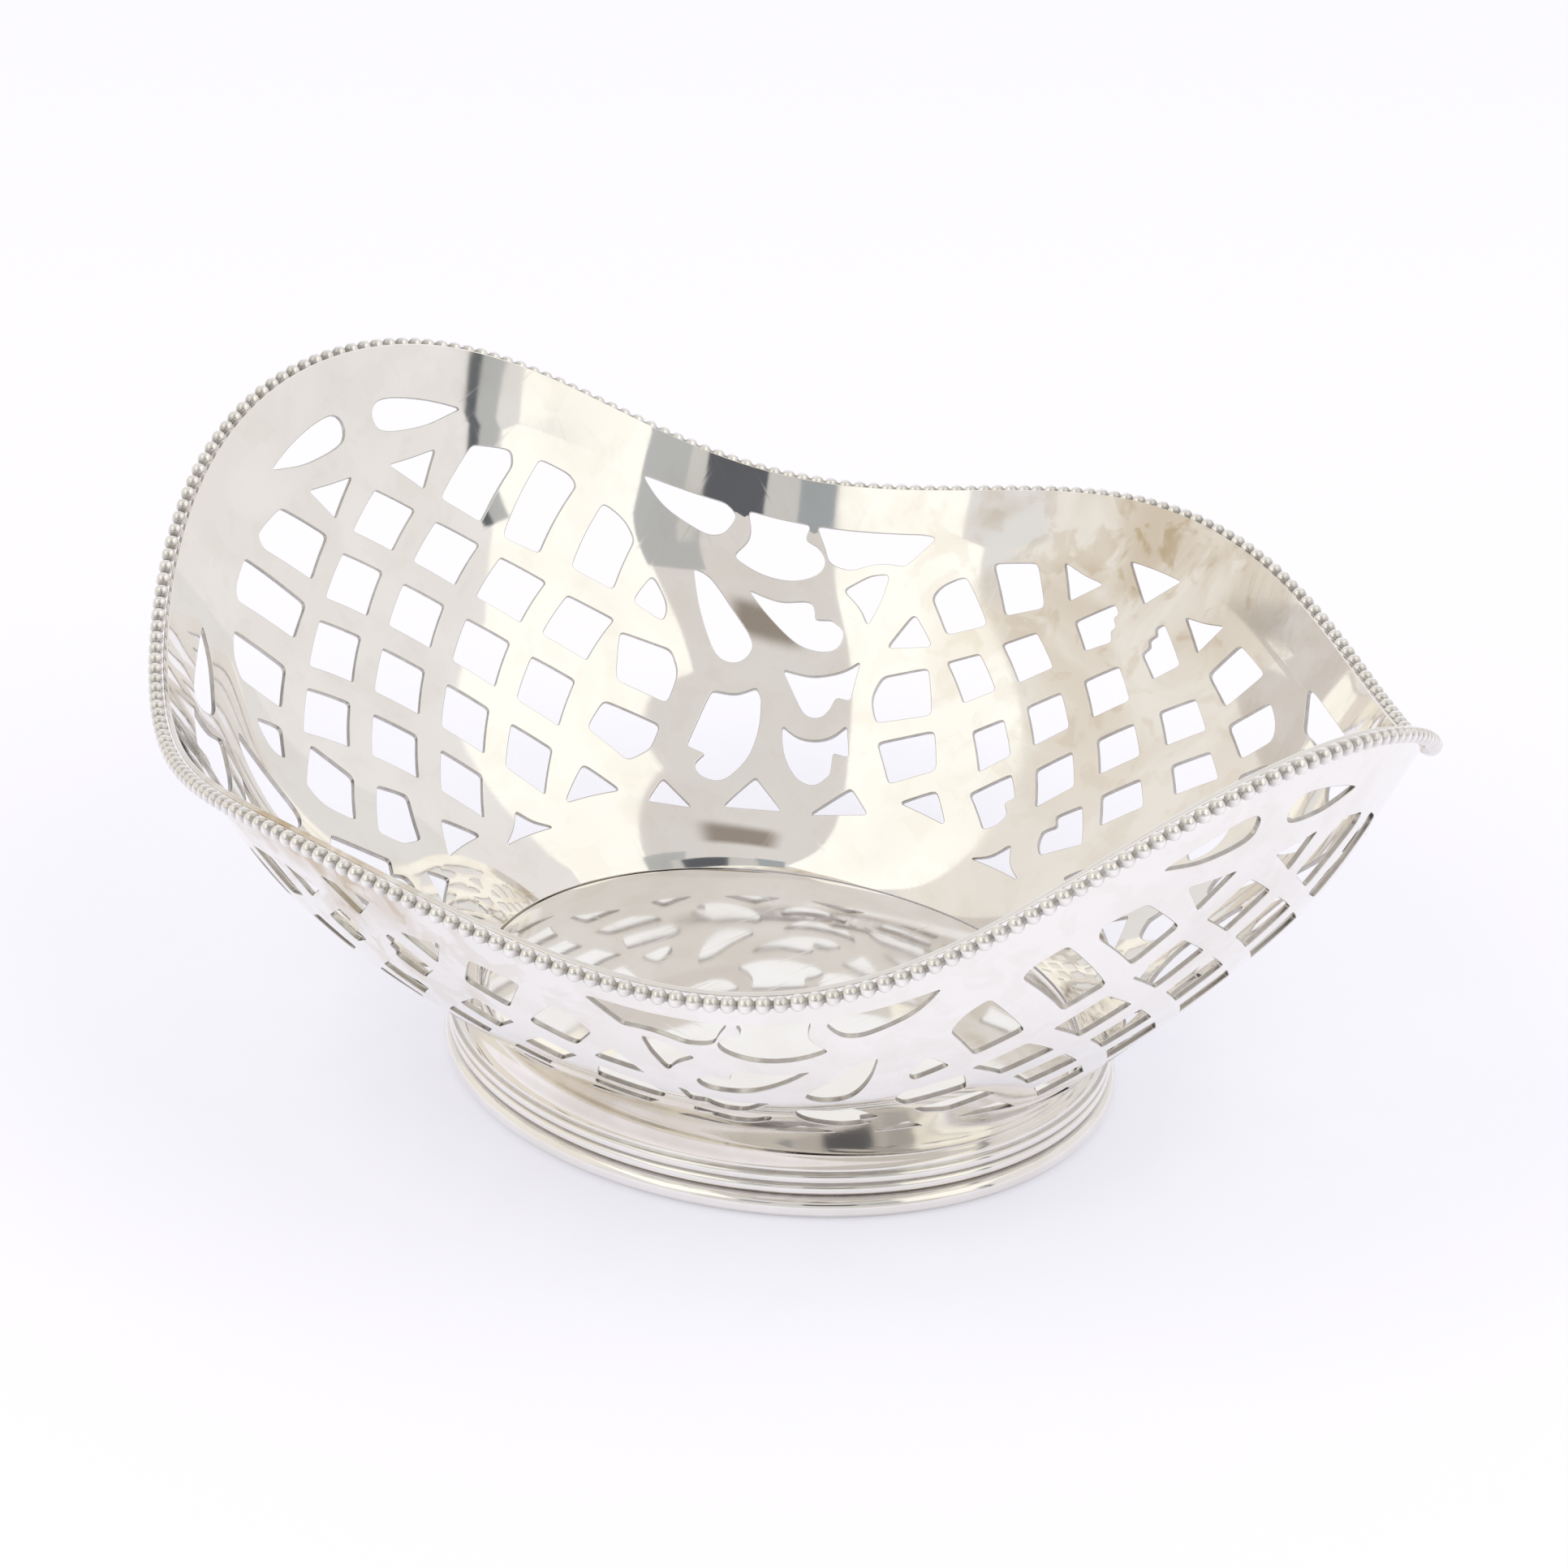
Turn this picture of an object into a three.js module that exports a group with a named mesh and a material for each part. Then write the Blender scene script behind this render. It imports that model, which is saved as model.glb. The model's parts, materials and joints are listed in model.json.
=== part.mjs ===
// A silver bonbon basket. The oval bowl is one pierced sheet that flares up to a wavy rim, high at the
// two ends, lower at the sides and lowest at the four corners. Its piercing has a lattice panel on each
// end and each side, with a scrolling plant between them. A beaded wire runs round the outside of the
// rim, a slightly domed plate closes the floor, and the bowl stands on a reeded collar and a base wire.
// Millimetres, Z up, the long way of the basket along X, the table at Z = 0.

import * as THREE from "three";

// Rim, at the inner face of the sheet
const RIM_LENGTH = 144.4;
const RIM_WIDTH = 122;
const RIM_END_HEIGHT = 60.6;
const RIM_SIDE_HEIGHT = 46;
const RIM_DIP_HEIGHT = 43.4;
const RIM_WAVE_ROUNDING = -1;
const RIM_END_SQUARING = -1.7;
const RIM_SIDE_SQUARING = -1.5;
const RIM_SIDE_RIPPLE = 1.1;

// Sheet of the bowl, and its sections at the ends, the corners and the sides. From a share of its height
// up to the rim the wall is straight, with the slope of its outward run to its height, both as shares.
// Below that it bulges out, the more so the lower the bulge, and comes in steeply to the floor.
const SHEET = 0.6;
const STRAIGHT_FROM = 0.77;
const WALL_SLOPE = { end: 0.55, corner: 0.63, side: 0.65 };
const WALL_BULGE = { end: 2, corner: 3.4, side: 2.7 };

// Share of the wall's height that is left plain above the foot
const PLAIN_FOOT_SHARE = 0.17;

// Floor plate, with its top edge where it meets the bowl
const FLOOR_LENGTH = 72.8;
const FLOOR_WIDTH = 57;
const FLOOR_HEIGHT = 5.9;
const FLOOR_THICKNESS = 0.8;
const FLOOR_DOME = 0.3;

// Foot
const FOOT_LENGTH = 78.6;
const FOOT_WIDTH = 67.4;
const FOOT_DEPTH = 3.4;
const BASE_WIRE_HEIGHT = 2.5;
const COLLAR_HEIGHT = 5.7;
const COLLAR_INSET = 0.9;
const COLLAR_SLOPE = 0.6;
const REED_HEIGHT = 1.3;
const REED_DEPTH = 0.5;

// Solder film between pieces that lie against each other
const JOINT = 0.3;

// Beaded wire
const BEAD_COUNT = 258;
const BEAD_DIAMETER = 1.7;
const BEAD_NECK_DIAMETER = 1;

// Lattice bars
const BAR_WIDTH = 3;

// Fineness of the solids
const RIM_STEPS = 120;
const OVAL_STEPS = 72;
const CURVE_STEP = 2.6;
const EDGE_STEP = 6;

const rad = THREE.MathUtils.degToRad;

// Height of the rim's inner edge at an angle round the basket: three cosine waves through the heights
// at the ends, the sides and the dips
function rimHeight(t) {
  const crest = (RIM_END_HEIGHT + RIM_SIDE_HEIGHT) / 2;
  const mean = (crest + RIM_DIP_HEIGHT) / 2;
  const lean = (RIM_END_HEIGHT - RIM_SIDE_HEIGHT) / 2 - RIM_WAVE_ROUNDING;
  const wave = (crest - RIM_DIP_HEIGHT) / 2;
  return mean + lean * Math.cos(2 * t) + wave * Math.cos(4 * t) + RIM_WAVE_ROUNDING * Math.cos(6 * t);
}

function rimPoint(t) {
  const halfLength = RIM_LENGTH / 2 - RIM_END_SQUARING;
  const halfWidth = RIM_WIDTH / 2 + RIM_SIDE_SQUARING - RIM_SIDE_RIPPLE;
  const x = halfLength * Math.cos(t) + RIM_END_SQUARING * Math.cos(3 * t);
  const y = halfWidth * Math.sin(t) + RIM_SIDE_SQUARING * Math.sin(3 * t) + RIM_SIDE_RIPPLE * Math.sin(5 * t);
  return new THREE.Vector3(x, y, rimHeight(t));
}

function floorLine(t) {
  return new THREE.Vector3(FLOOR_LENGTH / 2 * Math.cos(t), FLOOR_WIDTH / 2 * Math.sin(t), FLOOR_HEIGHT);
}

// A value of the wall's section at an angle, which passes smoothly through its three stated values
function sectionValue(stated, t) {
  const turn = Math.cos(2 * t);
  const lean = (stated.end - stated.side) / 2;
  const swell = (stated.end + stated.side) / 2 - stated.corner;
  return stated.corner + lean * turn + swell * turn ** 2;
}

// Share of its outward run that the wall has made at a height share h
function flare(t, h) {
  const slope = sectionValue(WALL_SLOPE, t);
  const up = Math.min(h / STRAIGHT_FROM, 1);
  const curve = (1 - up) ** 3 * (1 + sectionValue(WALL_BULGE, t) * up);
  return 1 - slope * (1 - h) - (1 - slope) * curve;
}

// Inner face of the bowl: h is 0 on the floor line and 1 on the rim
function bowlInside(t, h) {
  const low = floorLine(t);
  const high = rimPoint(t);
  const z = low.z + (high.z - low.z) * h;
  return low.lerp(high, flare(t, h)).setZ(z);
}

// A point of the bowl at a depth behind its inner face, square to the sheet
function bowl(t, h, depth) {
  const step = 1e-4;
  const along = bowlInside(t + step, h).sub(bowlInside(t - step, h));
  const up = bowlInside(t, h + step).sub(bowlInside(t, h - step));
  const outward = along.cross(up).normalize();
  return bowlInside(t, h).addScaledVector(outward, depth);
}

// Joins rings of equal count into faces. Each ring is the solid's section there, counter-clockwise as
// seen by someone who has just passed it, and the last ring joins the first where the solid closes.
function ringFaces(ringCount, ringSize, closed) {
  const faces = [];
  const pairs = closed ? ringCount : ringCount - 1;
  for (let ring = 0; ring < pairs; ring++) {
    const here = ring * ringSize;
    const there = ((ring + 1) % ringCount) * ringSize;
    for (let i = 0; i < ringSize; i++) {
      const j = (i + 1) % ringSize;
      faces.push(here + i, there + j, here + j, here + i, there + i, there + j);
    }
  }
  return faces;
}

function solid(name, points, faces, material) {
  const geometry = new THREE.BufferGeometry().setFromPoints(points);
  geometry.setIndex(faces);
  geometry.computeVertexNormals();
  const mesh = new THREE.Mesh(geometry, material);
  mesh.name = name;
  return mesh;
}

function silver(color, roughness) {
  return new THREE.MeshStandardMaterial({ color, roughness, metalness: 1 });
}

// Openings are drawn in one quarter of the bowl, as strokes of points [degrees from a panel's middle,
// height]. A stroke of two points is straight, and a longer one is a smooth curve. The strokes meet
// at the opening's corners, and the last one runs back to the first point.
function strokeLength(stroke, place) {
  let length = 0;
  for (let i = 1; i < stroke.length; i++) {
    length += place(stroke[i]).distanceTo(place(stroke[i - 1]));
  }
  return length;
}

function drawOpening(strokes, place) {
  const outline = [];
  strokes.forEach((stroke, index) => {
    const next = strokes[(index + 1) % strokes.length];
    const points = [...stroke, next[0]];
    const straight = points.length === 2;
    const step = straight ? EDGE_STEP : CURVE_STEP;
    const count = Math.max(1, Math.round(strokeLength(points, place) / step));
    const curve = new THREE.SplineCurve(points.map(([x, y]) => new THREE.Vector2(x, y)));
    for (let i = 0; i < count; i++) {
      outline.push(curve.getPoint(i / count));
    }
  });
  return outline;
}

function corners(...points) {
  return points.map((point) => [point]);
}

// A lattice panel: columns of square openings, further apart and curving upward away from its middle
function latticeNode(lattice, column, row) {
  const angle = lattice.columnDegrees * column + lattice.columnWidening * column * column;
  const height = lattice.topShare - lattice.rowShare * row + lattice.rowCurve * angle * angle;
  return [angle, height];
}

function latticeOpening(lattice, column, row, place) {
  const left = latticeNode(lattice, column - 1, row);
  const right = latticeNode(lattice, column + 1, row);
  const above = latticeNode(lattice, column, row - 1);
  const below = latticeNode(lattice, column, row + 1);
  if (column === 0) {
    left[0] = -right[0];
    left[1] = right[1];
  }
  const centre = [(left[0] + right[0]) / 2, (above[1] + below[1]) / 2];
  const side = place(right).distanceTo(place(above));
  const open = 1 - BAR_WIDTH / side;
  const shrink = (point) => point.map((value, axis) => centre[axis] + (value - centre[axis]) * open);
  return corners(...[left, below, right, above].map(shrink));
}

// End panel. Columns and rows count from the top opening on the panel's middle.
const END_LATTICE = { topShare: 0.667, rowShare: 0.0917, columnDegrees: 7, columnWidening: 0.27, rowCurve: 0.0001 };
const END_SQUARES = [[0, 0], [0, 2], [0, 4], [1, 1], [1, 3], [1, 5], [2, 2], [2, 4], [3, 3]];
const END_TEARDROP = [
  [[14, 0.871], [10, 0.884], [5, 0.895], [2.9, 0.89], [2.1, 0.868], [2.7, 0.839], [5.5, 0.83], [9.5, 0.838]],
];
const END_TRIANGLE = [
  [[2.8, 0.767], [6, 0.772]],
  [[9.5, 0.785]],
  [[6.8, 0.708]],
];
const END_EDGE_OPENINGS = [
  corners([8.8, 0.687], [13.6, 0.637], [19.6, 0.768], [19.8, 0.8], [14.6, 0.797]),
  corners([16.2, 0.61], [20.8, 0.585], [27.8, 0.765], [27, 0.785], [23.4, 0.797]),
  [[[25, 0.57]], [[30.3, 0.545]], [[34.4, 0.68], [33.4, 0.722]], [[31, 0.745]]],
  [[[32.8, 0.532]], [[36.5, 0.508], [37.5, 0.55]], [[36.2, 0.61]]],
  [[[27.4, 0.357]], [[34.6, 0.333], [37.2, 0.4]], [[36.9, 0.448]], [[30, 0.457]]],
  corners([20, 0.26], [25.2, 0.208], [29.8, 0.235], [32.6, 0.285], [24.4, 0.313]),
  corners([10.6, 0.136], [22, 0.153], [16.9, 0.197]),
];
const END_FOOT_ARCH = [[[-6, 0.102]], [[6, 0.102], [2.5, 0.118]], [[0, 0.142], [-2.5, 0.118]]];

// Side panel, with a serrated leaf hanging in the middle of its top and a smaller one standing below
const SIDE_LATTICE = {
  topShare: 0.537,
  rowShare: 0.1035,
  columnDegrees: 5,
  columnWidening: 0.1,
  rowCurve: 0.00026,
};
const SIDE_SQUARES = [[0, 0], [0, 2], [1, 1], [2, 0], [2, 2], [3, 1]];
const SIDE_LEAF_GAP = [[[-3, 0.85]], [[0, 0.76], [1.6, 0.805]], [[3, 0.85]]];
const SIDE_TRIANGLE = [
  [[5, 0.777], [7.3, 0.79]],
  [[9.6, 0.815]],
  [[8, 0.718]],
];
const SIDE_LEAF_OPENING = [
  [[3, 0.738]],
  [[2.2, 0.716]],
  [[2.8, 0.704]],
  [[2, 0.684]],
  [[2.6, 0.671]],
  [[1.9, 0.648]],
  [[4.5, 0.608]],
  [[6.7, 0.67]],
];
const SIDE_BUD_OPENING = [
  [[6, 0.31]],
  [[3.6, 0.268]],
  [[4.9, 0.254]],
  [[3.3, 0.233], [4, 0.208]],
  [[5.6, 0.192]],
  [[10.2, 0.252]],
];
const SIDE_EDGE_OPENINGS = [
  corners([10.4, 0.692], [14.3, 0.66], [16.7, 0.797], [12.3, 0.805]),
  [[[15.9, 0.632]], [[20, 0.6]], [[22.2, 0.694], [21.4, 0.73]], [[19.2, 0.76]]],
  corners([21.3, 0.568], [26.2, 0.555], [23.8, 0.65]),
  [[[19.4, 0.405]], [[26, 0.375], [27, 0.43]], [[26.1, 0.483]], [[21.2, 0.513]]],
  corners([16.4, 0.287], [22.4, 0.245], [25.3, 0.33], [18.4, 0.37]),
  corners([11.8, 0.18], [20, 0.208], [15.2, 0.245]),
];
const SIDE_FOOT_ARCH = [[[-5, 0.13]], [[5, 0.13], [2, 0.148]], [[0, 0.184], [-2, 0.148]]];

// Plant between the panels, measured from the middle of the side
const PLANT_OPENINGS = [
  // Top openings, under the plain band
  [
    [[34.5, 0.87]],
    [[24, 0.872]],
    [[22.6, 0.865]],
    [[25.4, 0.78], [28, 0.785]],
    [[30.8, 0.757], [33, 0.77], [33.6, 0.815]],
  ],
  [
    [[35, 0.87]],
    [[35.8, 0.823]],
    [[34.4, 0.813], [33.5, 0.777], [34.2, 0.735], [36.9, 0.703], [40.5, 0.703]],
    [[43.6, 0.731], [41.8, 0.777], [41.3, 0.823]],
    [[41.6, 0.87]],
  ],
  [[[53.5, 0.86]], [[44, 0.872]], [[42.8, 0.849], [44.2, 0.793], [45.9, 0.771], [47.8, 0.775], [51.4, 0.803]]],
  // Eye of the plant, a drop standing on its round end
  [
    [
      [48.4, 0.662],
      [46.4, 0.651],
      [44, 0.586],
      [42, 0.526],
      [42.3, 0.49],
      [44, 0.462],
      [46.1, 0.46],
      [47.3, 0.49],
      [48.2, 0.572],
    ],
  ],
  // Three hooks on the side panel's side
  [
    [[41.9, 0.649], [38.4, 0.637], [35, 0.651]],
    [[34.4, 0.606]],
    [[32.6, 0.612], [31.2, 0.585], [31.8, 0.542], [33.8, 0.528], [36.6, 0.54], [39.8, 0.596]],
  ],
  [
    [[38.2, 0.467], [34.5, 0.463], [31, 0.484]],
    [[29, 0.513]],
    [[29.7, 0.418]],
    [[31.5, 0.424]],
    [[32, 0.398], [33.2, 0.373], [35.3, 0.373], [36.8, 0.415]],
  ],
  [
    [[38.5, 0.34], [36.4, 0.32], [33.8, 0.318], [31.4, 0.332]],
    [[29.7, 0.36]],
    [[28.9, 0.292]],
    [[31.2, 0.298]],
    [[31.3, 0.25], [33.1, 0.225], [34.9, 0.222], [36.8, 0.237], [38.3, 0.28]],
  ],
  // Leaf gap beside the top hook
  [[[26.8, 0.757]], [[27.4, 0.683]], [[28.6, 0.606], [29.6, 0.655]], [[31.5, 0.698]], [[28.8, 0.747]]],
  // Long opening beside the end panel, with a notch in its foot
  [
    [[48, 0.383], [44.6, 0.388]],
    [[41.7, 0.413]],
    [[41.2, 0.394], [41.8, 0.328], [43.8, 0.261], [47.3, 0.212], [50, 0.196], [52.5, 0.202], [53, 0.221]],
    [[50.8, 0.247]],
    [[53.7, 0.255], [51, 0.312]],
  ],
  // Foot gaps
  corners([43, 0.217], [39, 0.153], [49.4, 0.143]),
  corners([59.4, 0.182], [55.4, 0.132], [63.4, 0.136]),
  corners([27.8, 0.224], [24.6, 0.173], [34, 0.154]),
];

// Every opening of the bowl, each as points (angle in radians, height). What lies beside a panel's
// middle is drawn twice there, and every quarter of the bowl mirrors its neighbours.
function openings() {
  const outlines = [];
  const draw = (strokes, middle, turn) => {
    const toBowl = ([angle, height]) => bowlInside(rad(middle + turn * angle), height);
    const outline = drawOpening(strokes, toBowl);
    outlines.push(outline.map((point) => new THREE.Vector2(rad(middle + turn * point.x), point.y)));
  };
  const lattice = (grid, squares, middle, turn) => {
    const toBowl = ([angle, height]) => bowlInside(rad(middle + turn * angle), height);
    for (const [column, row] of squares) {
      if (column > 0 || turn > 0) {
        draw(latticeOpening(grid, column, row, toBowl), middle, turn);
      }
    }
  };
  for (const middle of [0, 180]) {
    draw(END_FOOT_ARCH, middle, 1);
    for (const turn of [1, -1]) {
      lattice(END_LATTICE, END_SQUARES, middle, turn);
      [END_TEARDROP, END_TRIANGLE, ...END_EDGE_OPENINGS].forEach((strokes) => draw(strokes, middle, turn));
    }
  }
  for (const middle of [90, 270]) {
    draw(SIDE_LEAF_GAP, middle, 1);
    draw(SIDE_FOOT_ARCH, middle, 1);
    for (const turn of [1, -1]) {
      lattice(SIDE_LATTICE, SIDE_SQUARES, middle, turn);
      const panel = [SIDE_TRIANGLE, SIDE_LEAF_OPENING, SIDE_BUD_OPENING, ...SIDE_EDGE_OPENINGS];
      [...panel, ...PLANT_OPENINGS].forEach((strokes) => draw(strokes, middle, turn));
    }
  }
  return outlines;
}

// The bowl rolled out flat as a ring, in which its openings are cut: roughly true to its real shape
function rollOut(point) {
  const reach = (FLOOR_LENGTH + FLOOR_WIDTH) / 4 + (RIM_END_HEIGHT - FLOOR_HEIGHT) * point.y;
  return new THREE.Vector2(reach * Math.cos(point.x), reach * Math.sin(point.x));
}

function circleAt(height, count) {
  return Array.from({ length: count }, (_, i) => new THREE.Vector2((2 * Math.PI * i) / count, height));
}

// Swaps the shared edge of two triangles wherever the other diagonal is the better one, so that the
// faces of the curved sheet stay short
function improveFaces(faces, flat) {
  const key = (a, b) => (a < b ? a * flat.length + b : b * flat.length + a);
  const area = (a, b, c) => {
    const [p, q, r] = [flat[a], flat[b], flat[c]];
    return (q.x - p.x) * (r.y - p.y) - (q.y - p.y) * (r.x - p.x);
  };
  const angle = (a, b, c) => {
    const u = flat[a].clone().sub(flat[b]);
    const v = flat[c].clone().sub(flat[b]);
    return Math.atan2(Math.abs(u.cross(v)), u.dot(v));
  };
  let swapped = true;
  for (let pass = 0; swapped && pass < 30; pass++) {
    swapped = false;
    const edges = new Map();
    faces.forEach((face, index) => {
      for (let side = 0; side < 3; side++) {
        const edge = key(face[side], face[(side + 1) % 3]);
        edges.set(edge, [...(edges.get(edge) ?? []), index]);
      }
    });
    const touched = new Set();
    for (const pair of edges.values()) {
      if (pair.length < 2 || pair.some((index) => touched.has(index))) {
        continue;
      }
      const [first, second] = pair.map((index) => faces[index]);
      const shared = first.filter((corner) => second.includes(corner));
      const start = first.find((corner) => !shared.includes(corner));
      const end = second.find((corner) => !shared.includes(corner));
      const turn = first.indexOf(start);
      const right = first[(turn + 1) % 3];
      const left = first[(turn + 2) % 3];
      const sharp = angle(right, start, left) + angle(right, end, left) > Math.PI + 1e-6;
      if (sharp && area(start, right, end) > 0 && area(start, end, left) > 0) {
        faces[pair[0]] = [start, right, end];
        faces[pair[1]] = [start, end, left];
        pair.forEach((index) => touched.add(index));
        swapped = true;
      }
    }
  }
}

function piercedBowl() {
  const rim = circleAt(1, RIM_STEPS);
  const inner = [circleAt(0, OVAL_STEPS), ...openings()];
  const flatRim = rim.map(rollOut);
  const flatInner = inner.map((loop) => loop.map(rollOut));
  const faces = THREE.ShapeUtils.triangulateShape(flatRim, flatInner);
  const flat = [flatRim, ...flatInner].flat();
  improveFaces(faces, flat);
  const places = [rim, ...inner].flat();
  const count = places.length;
  const inside = places.map((point) => bowl(point.x, point.y, 0));
  const outside = places.map((point) => bowl(point.x, point.y, SHEET));
  const index = [];
  for (const [a, b, c] of faces) {
    const [first, second] = signedArea(flat[a], flat[b], flat[c]) > 0 ? [b, c] : [c, b];
    index.push(a, first, second, a + count, second + count, first + count);
  }
  let start = 0;
  [rim, ...inner].forEach((loop, loopIndex) => {
    const flatLoop = [flatRim, ...flatInner][loopIndex];
    const forward = THREE.ShapeUtils.area(flatLoop) > 0 === (loopIndex === 0);
    for (let i = 0; i < loop.length; i++) {
      const a = start + (forward ? i : (i + 1) % loop.length);
      const b = start + (forward ? (i + 1) % loop.length : i);
      index.push(a, a + count, b + count, a, b + count, b);
    }
    start += loop.length;
  });
  return solid("pierced_bowl", [...inside, ...outside], index, silver(0xe6e2df, 0.12));
}

function signedArea(a, b, c) {
  return (b.x - a.x) * (c.y - a.y) - (b.y - a.y) * (c.x - a.x);
}

// The beaded wire lies against the outside of the sheet, with its middle level with the sheet's edge
function beadWire() {
  const sides = 5;
  const beadRadius = BEAD_DIAMETER / 2;
  const depth = SHEET + JOINT + beadRadius;
  const points = [];
  const rings = 2 * BEAD_COUNT;
  for (let ring = 0; ring < rings; ring++) {
    const t = (2 * Math.PI * ring) / rings;
    const radius = ring % 2 === 0 ? beadRadius : BEAD_NECK_DIAMETER / 2;
    const centre = bowl(t, 1, depth);
    const out = bowl(t, 1, depth + 1).sub(centre);
    const up = centre.clone().sub(bowl(t, 0.98, depth)).normalize();
    for (let i = 0; i < sides; i++) {
      const turn = (2 * Math.PI * i) / sides;
      const spoke = out.clone().multiplyScalar(Math.cos(turn)).addScaledVector(up, Math.sin(turn));
      points.push(centre.clone().addScaledVector(spoke, radius));
    }
  }
  return solid("bead_wire", points, ringFaces(rings, sides, true), silver(0xe9e6e4, 0.15));
}

// A point beside an oval: r is the distance out from its line, square to it
function ovalPoint(length, width, t, r, z) {
  const outward = new THREE.Vector3(Math.cos(t) / length, Math.sin(t) / width, 0).normalize();
  const line = new THREE.Vector3(length / 2 * Math.cos(t), width / 2 * Math.sin(t), 0);
  return line.addScaledVector(outward, r).setZ(z);
}

function footPoint(t, r, z) {
  return ovalPoint(FOOT_LENGTH, FOOT_WIDTH, t, r, z);
}

// Sweeps a closed section round the foot's oval. section(t) gives its points as [r, z], counter-
// clockwise with r to the right and z up.
function footRing(name, section) {
  const points = [];
  for (let i = 0; i < OVAL_STEPS; i++) {
    const t = (2 * Math.PI * i) / OVAL_STEPS;
    section(t).forEach(([r, z]) => points.push(footPoint(t, r, z)));
  }
  const ringSize = points.length / OVAL_STEPS;
  return solid(name, points, ringFaces(OVAL_STEPS, ringSize, true), silver(0xe2dedb, 0.18));
}

// How far out from the foot's line the collar meets the plain band at the bottom of the bowl's wall,
// at a height z
function seatReach(t, z) {
  const low = bowl(t, 0, SHEET + JOINT);
  const high = bowl(t, PLAIN_FOOT_SHARE, SHEET + JOINT);
  const seat = low.clone().lerp(high, (z - low.z) / (high.z - low.z));
  return seat.setZ(0).length() - footPoint(t, 0, 0).length();
}

// The collar carries the edge of the floor, and its top slopes up against the bowl's wall
function reededCollar() {
  const bottom = BASE_WIRE_HEIGHT + JOINT;
  const underFloor = FLOOR_HEIGHT - FLOOR_THICKNESS - JOINT;
  const outer = -COLLAR_INSET;
  const crown = outer + REED_DEPTH;
  const groove = outer + REED_DEPTH / 4;
  const inner = -FOOT_DEPTH;
  return footRing("reeded_collar", (t) => {
    const top = COLLAR_HEIGHT + COLLAR_SLOPE;
    const wallFoot = bowl(t, 0, SHEET + JOINT).z;
    return [
      [inner, bottom],
      [outer, bottom],
      [crown, bottom + REED_HEIGHT / 2],
      [groove, bottom + REED_HEIGHT],
      [crown, bottom + REED_HEIGHT * 3 / 2],
      [outer, bottom + REED_HEIGHT * 2],
      [outer, COLLAR_HEIGHT],
      [seatReach(t, top), top],
      [seatReach(t, wallFoot), wallFoot],
      [seatReach(t, wallFoot), underFloor],
      [inner, underFloor],
    ];
  });
}

function baseWire() {
  const round = BASE_WIRE_HEIGHT / 2;
  const section = [[-FOOT_DEPTH, 0]];
  for (const degrees of [-90, -45, 0, 45, 90]) {
    section.push([round * Math.cos(rad(degrees)) - round, round * (1 + Math.sin(rad(degrees)))]);
  }
  section.push([-FOOT_DEPTH, BASE_WIRE_HEIGHT]);
  return footRing("base_wire", () => section);
}

// The floor plate lies inside the foot of the bowl, and its top rises to a low dome
function floorPlate() {
  const points = [];
  const rings = 4;
  const place = (t, share, z) => {
    const edge = ovalPoint(FLOOR_LENGTH, FLOOR_WIDTH, t, -JOINT, 0);
    return edge.multiplyScalar(share).setZ(z);
  };
  const layer = (share, base) => {
    for (let i = 0; i < OVAL_STEPS; i++) {
      points.push(place((2 * Math.PI * i) / OVAL_STEPS, share, base + FLOOR_DOME * (1 - share * share)));
    }
  };
  const under = FLOOR_HEIGHT - FLOOR_THICKNESS;
  for (let ring = 1; ring <= rings; ring++) {
    layer(ring / rings, FLOOR_HEIGHT);
  }
  for (let ring = rings; ring >= 1; ring--) {
    layer(ring / rings, under);
  }
  const faces = ringFaces(2 * rings, OVAL_STEPS, false);
  const top = points.push(new THREE.Vector3(0, 0, FLOOR_HEIGHT + FLOOR_DOME)) - 1;
  const bottom = points.push(new THREE.Vector3(0, 0, under + FLOOR_DOME)) - 1;
  const lastRing = (2 * rings - 1) * OVAL_STEPS;
  for (let i = 0; i < OVAL_STEPS; i++) {
    const j = (i + 1) % OVAL_STEPS;
    faces.push(top, i, j, bottom, lastRing + j, lastRing + i);
  }
  return solid("floor_plate", points, faces, silver(0xdedad8, 0.1));
}

const basket = new THREE.Group();
basket.add(piercedBowl(), beadWire(), floorPlate(), reededCollar(), baseWire());

export default basket;
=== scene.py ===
import json
import math
import random

import bpy
import numpy as np
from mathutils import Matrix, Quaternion, Vector
from mathutils.geometry import delaunay_2d_cdt
from mathutils.kdtree import KDTree


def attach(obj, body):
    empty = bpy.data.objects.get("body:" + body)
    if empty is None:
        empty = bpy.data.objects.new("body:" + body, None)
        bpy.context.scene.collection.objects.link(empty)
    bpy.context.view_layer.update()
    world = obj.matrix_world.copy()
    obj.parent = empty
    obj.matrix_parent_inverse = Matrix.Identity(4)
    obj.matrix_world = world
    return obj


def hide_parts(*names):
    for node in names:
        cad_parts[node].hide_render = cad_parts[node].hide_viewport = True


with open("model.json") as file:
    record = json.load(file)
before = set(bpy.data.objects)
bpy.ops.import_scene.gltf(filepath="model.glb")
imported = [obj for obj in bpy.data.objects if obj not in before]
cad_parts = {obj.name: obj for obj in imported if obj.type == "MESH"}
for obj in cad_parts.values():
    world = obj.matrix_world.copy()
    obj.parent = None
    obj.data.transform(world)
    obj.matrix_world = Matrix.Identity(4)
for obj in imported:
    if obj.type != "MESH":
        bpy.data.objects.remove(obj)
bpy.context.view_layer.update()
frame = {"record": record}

bl_info = {
    "name": "Pierced Silver Bonbon Basket",
    "version": (1, 0, 0),
    "blender": (4, 5, 0),
    "location": "View3D > Sidebar > Basket",
    "description": "Builds a pierced silver bonbon basket on its fixed frame, with its studio",
    "category": "Object",
}

MM = 0.001
TURN = 2 * math.pi

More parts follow.
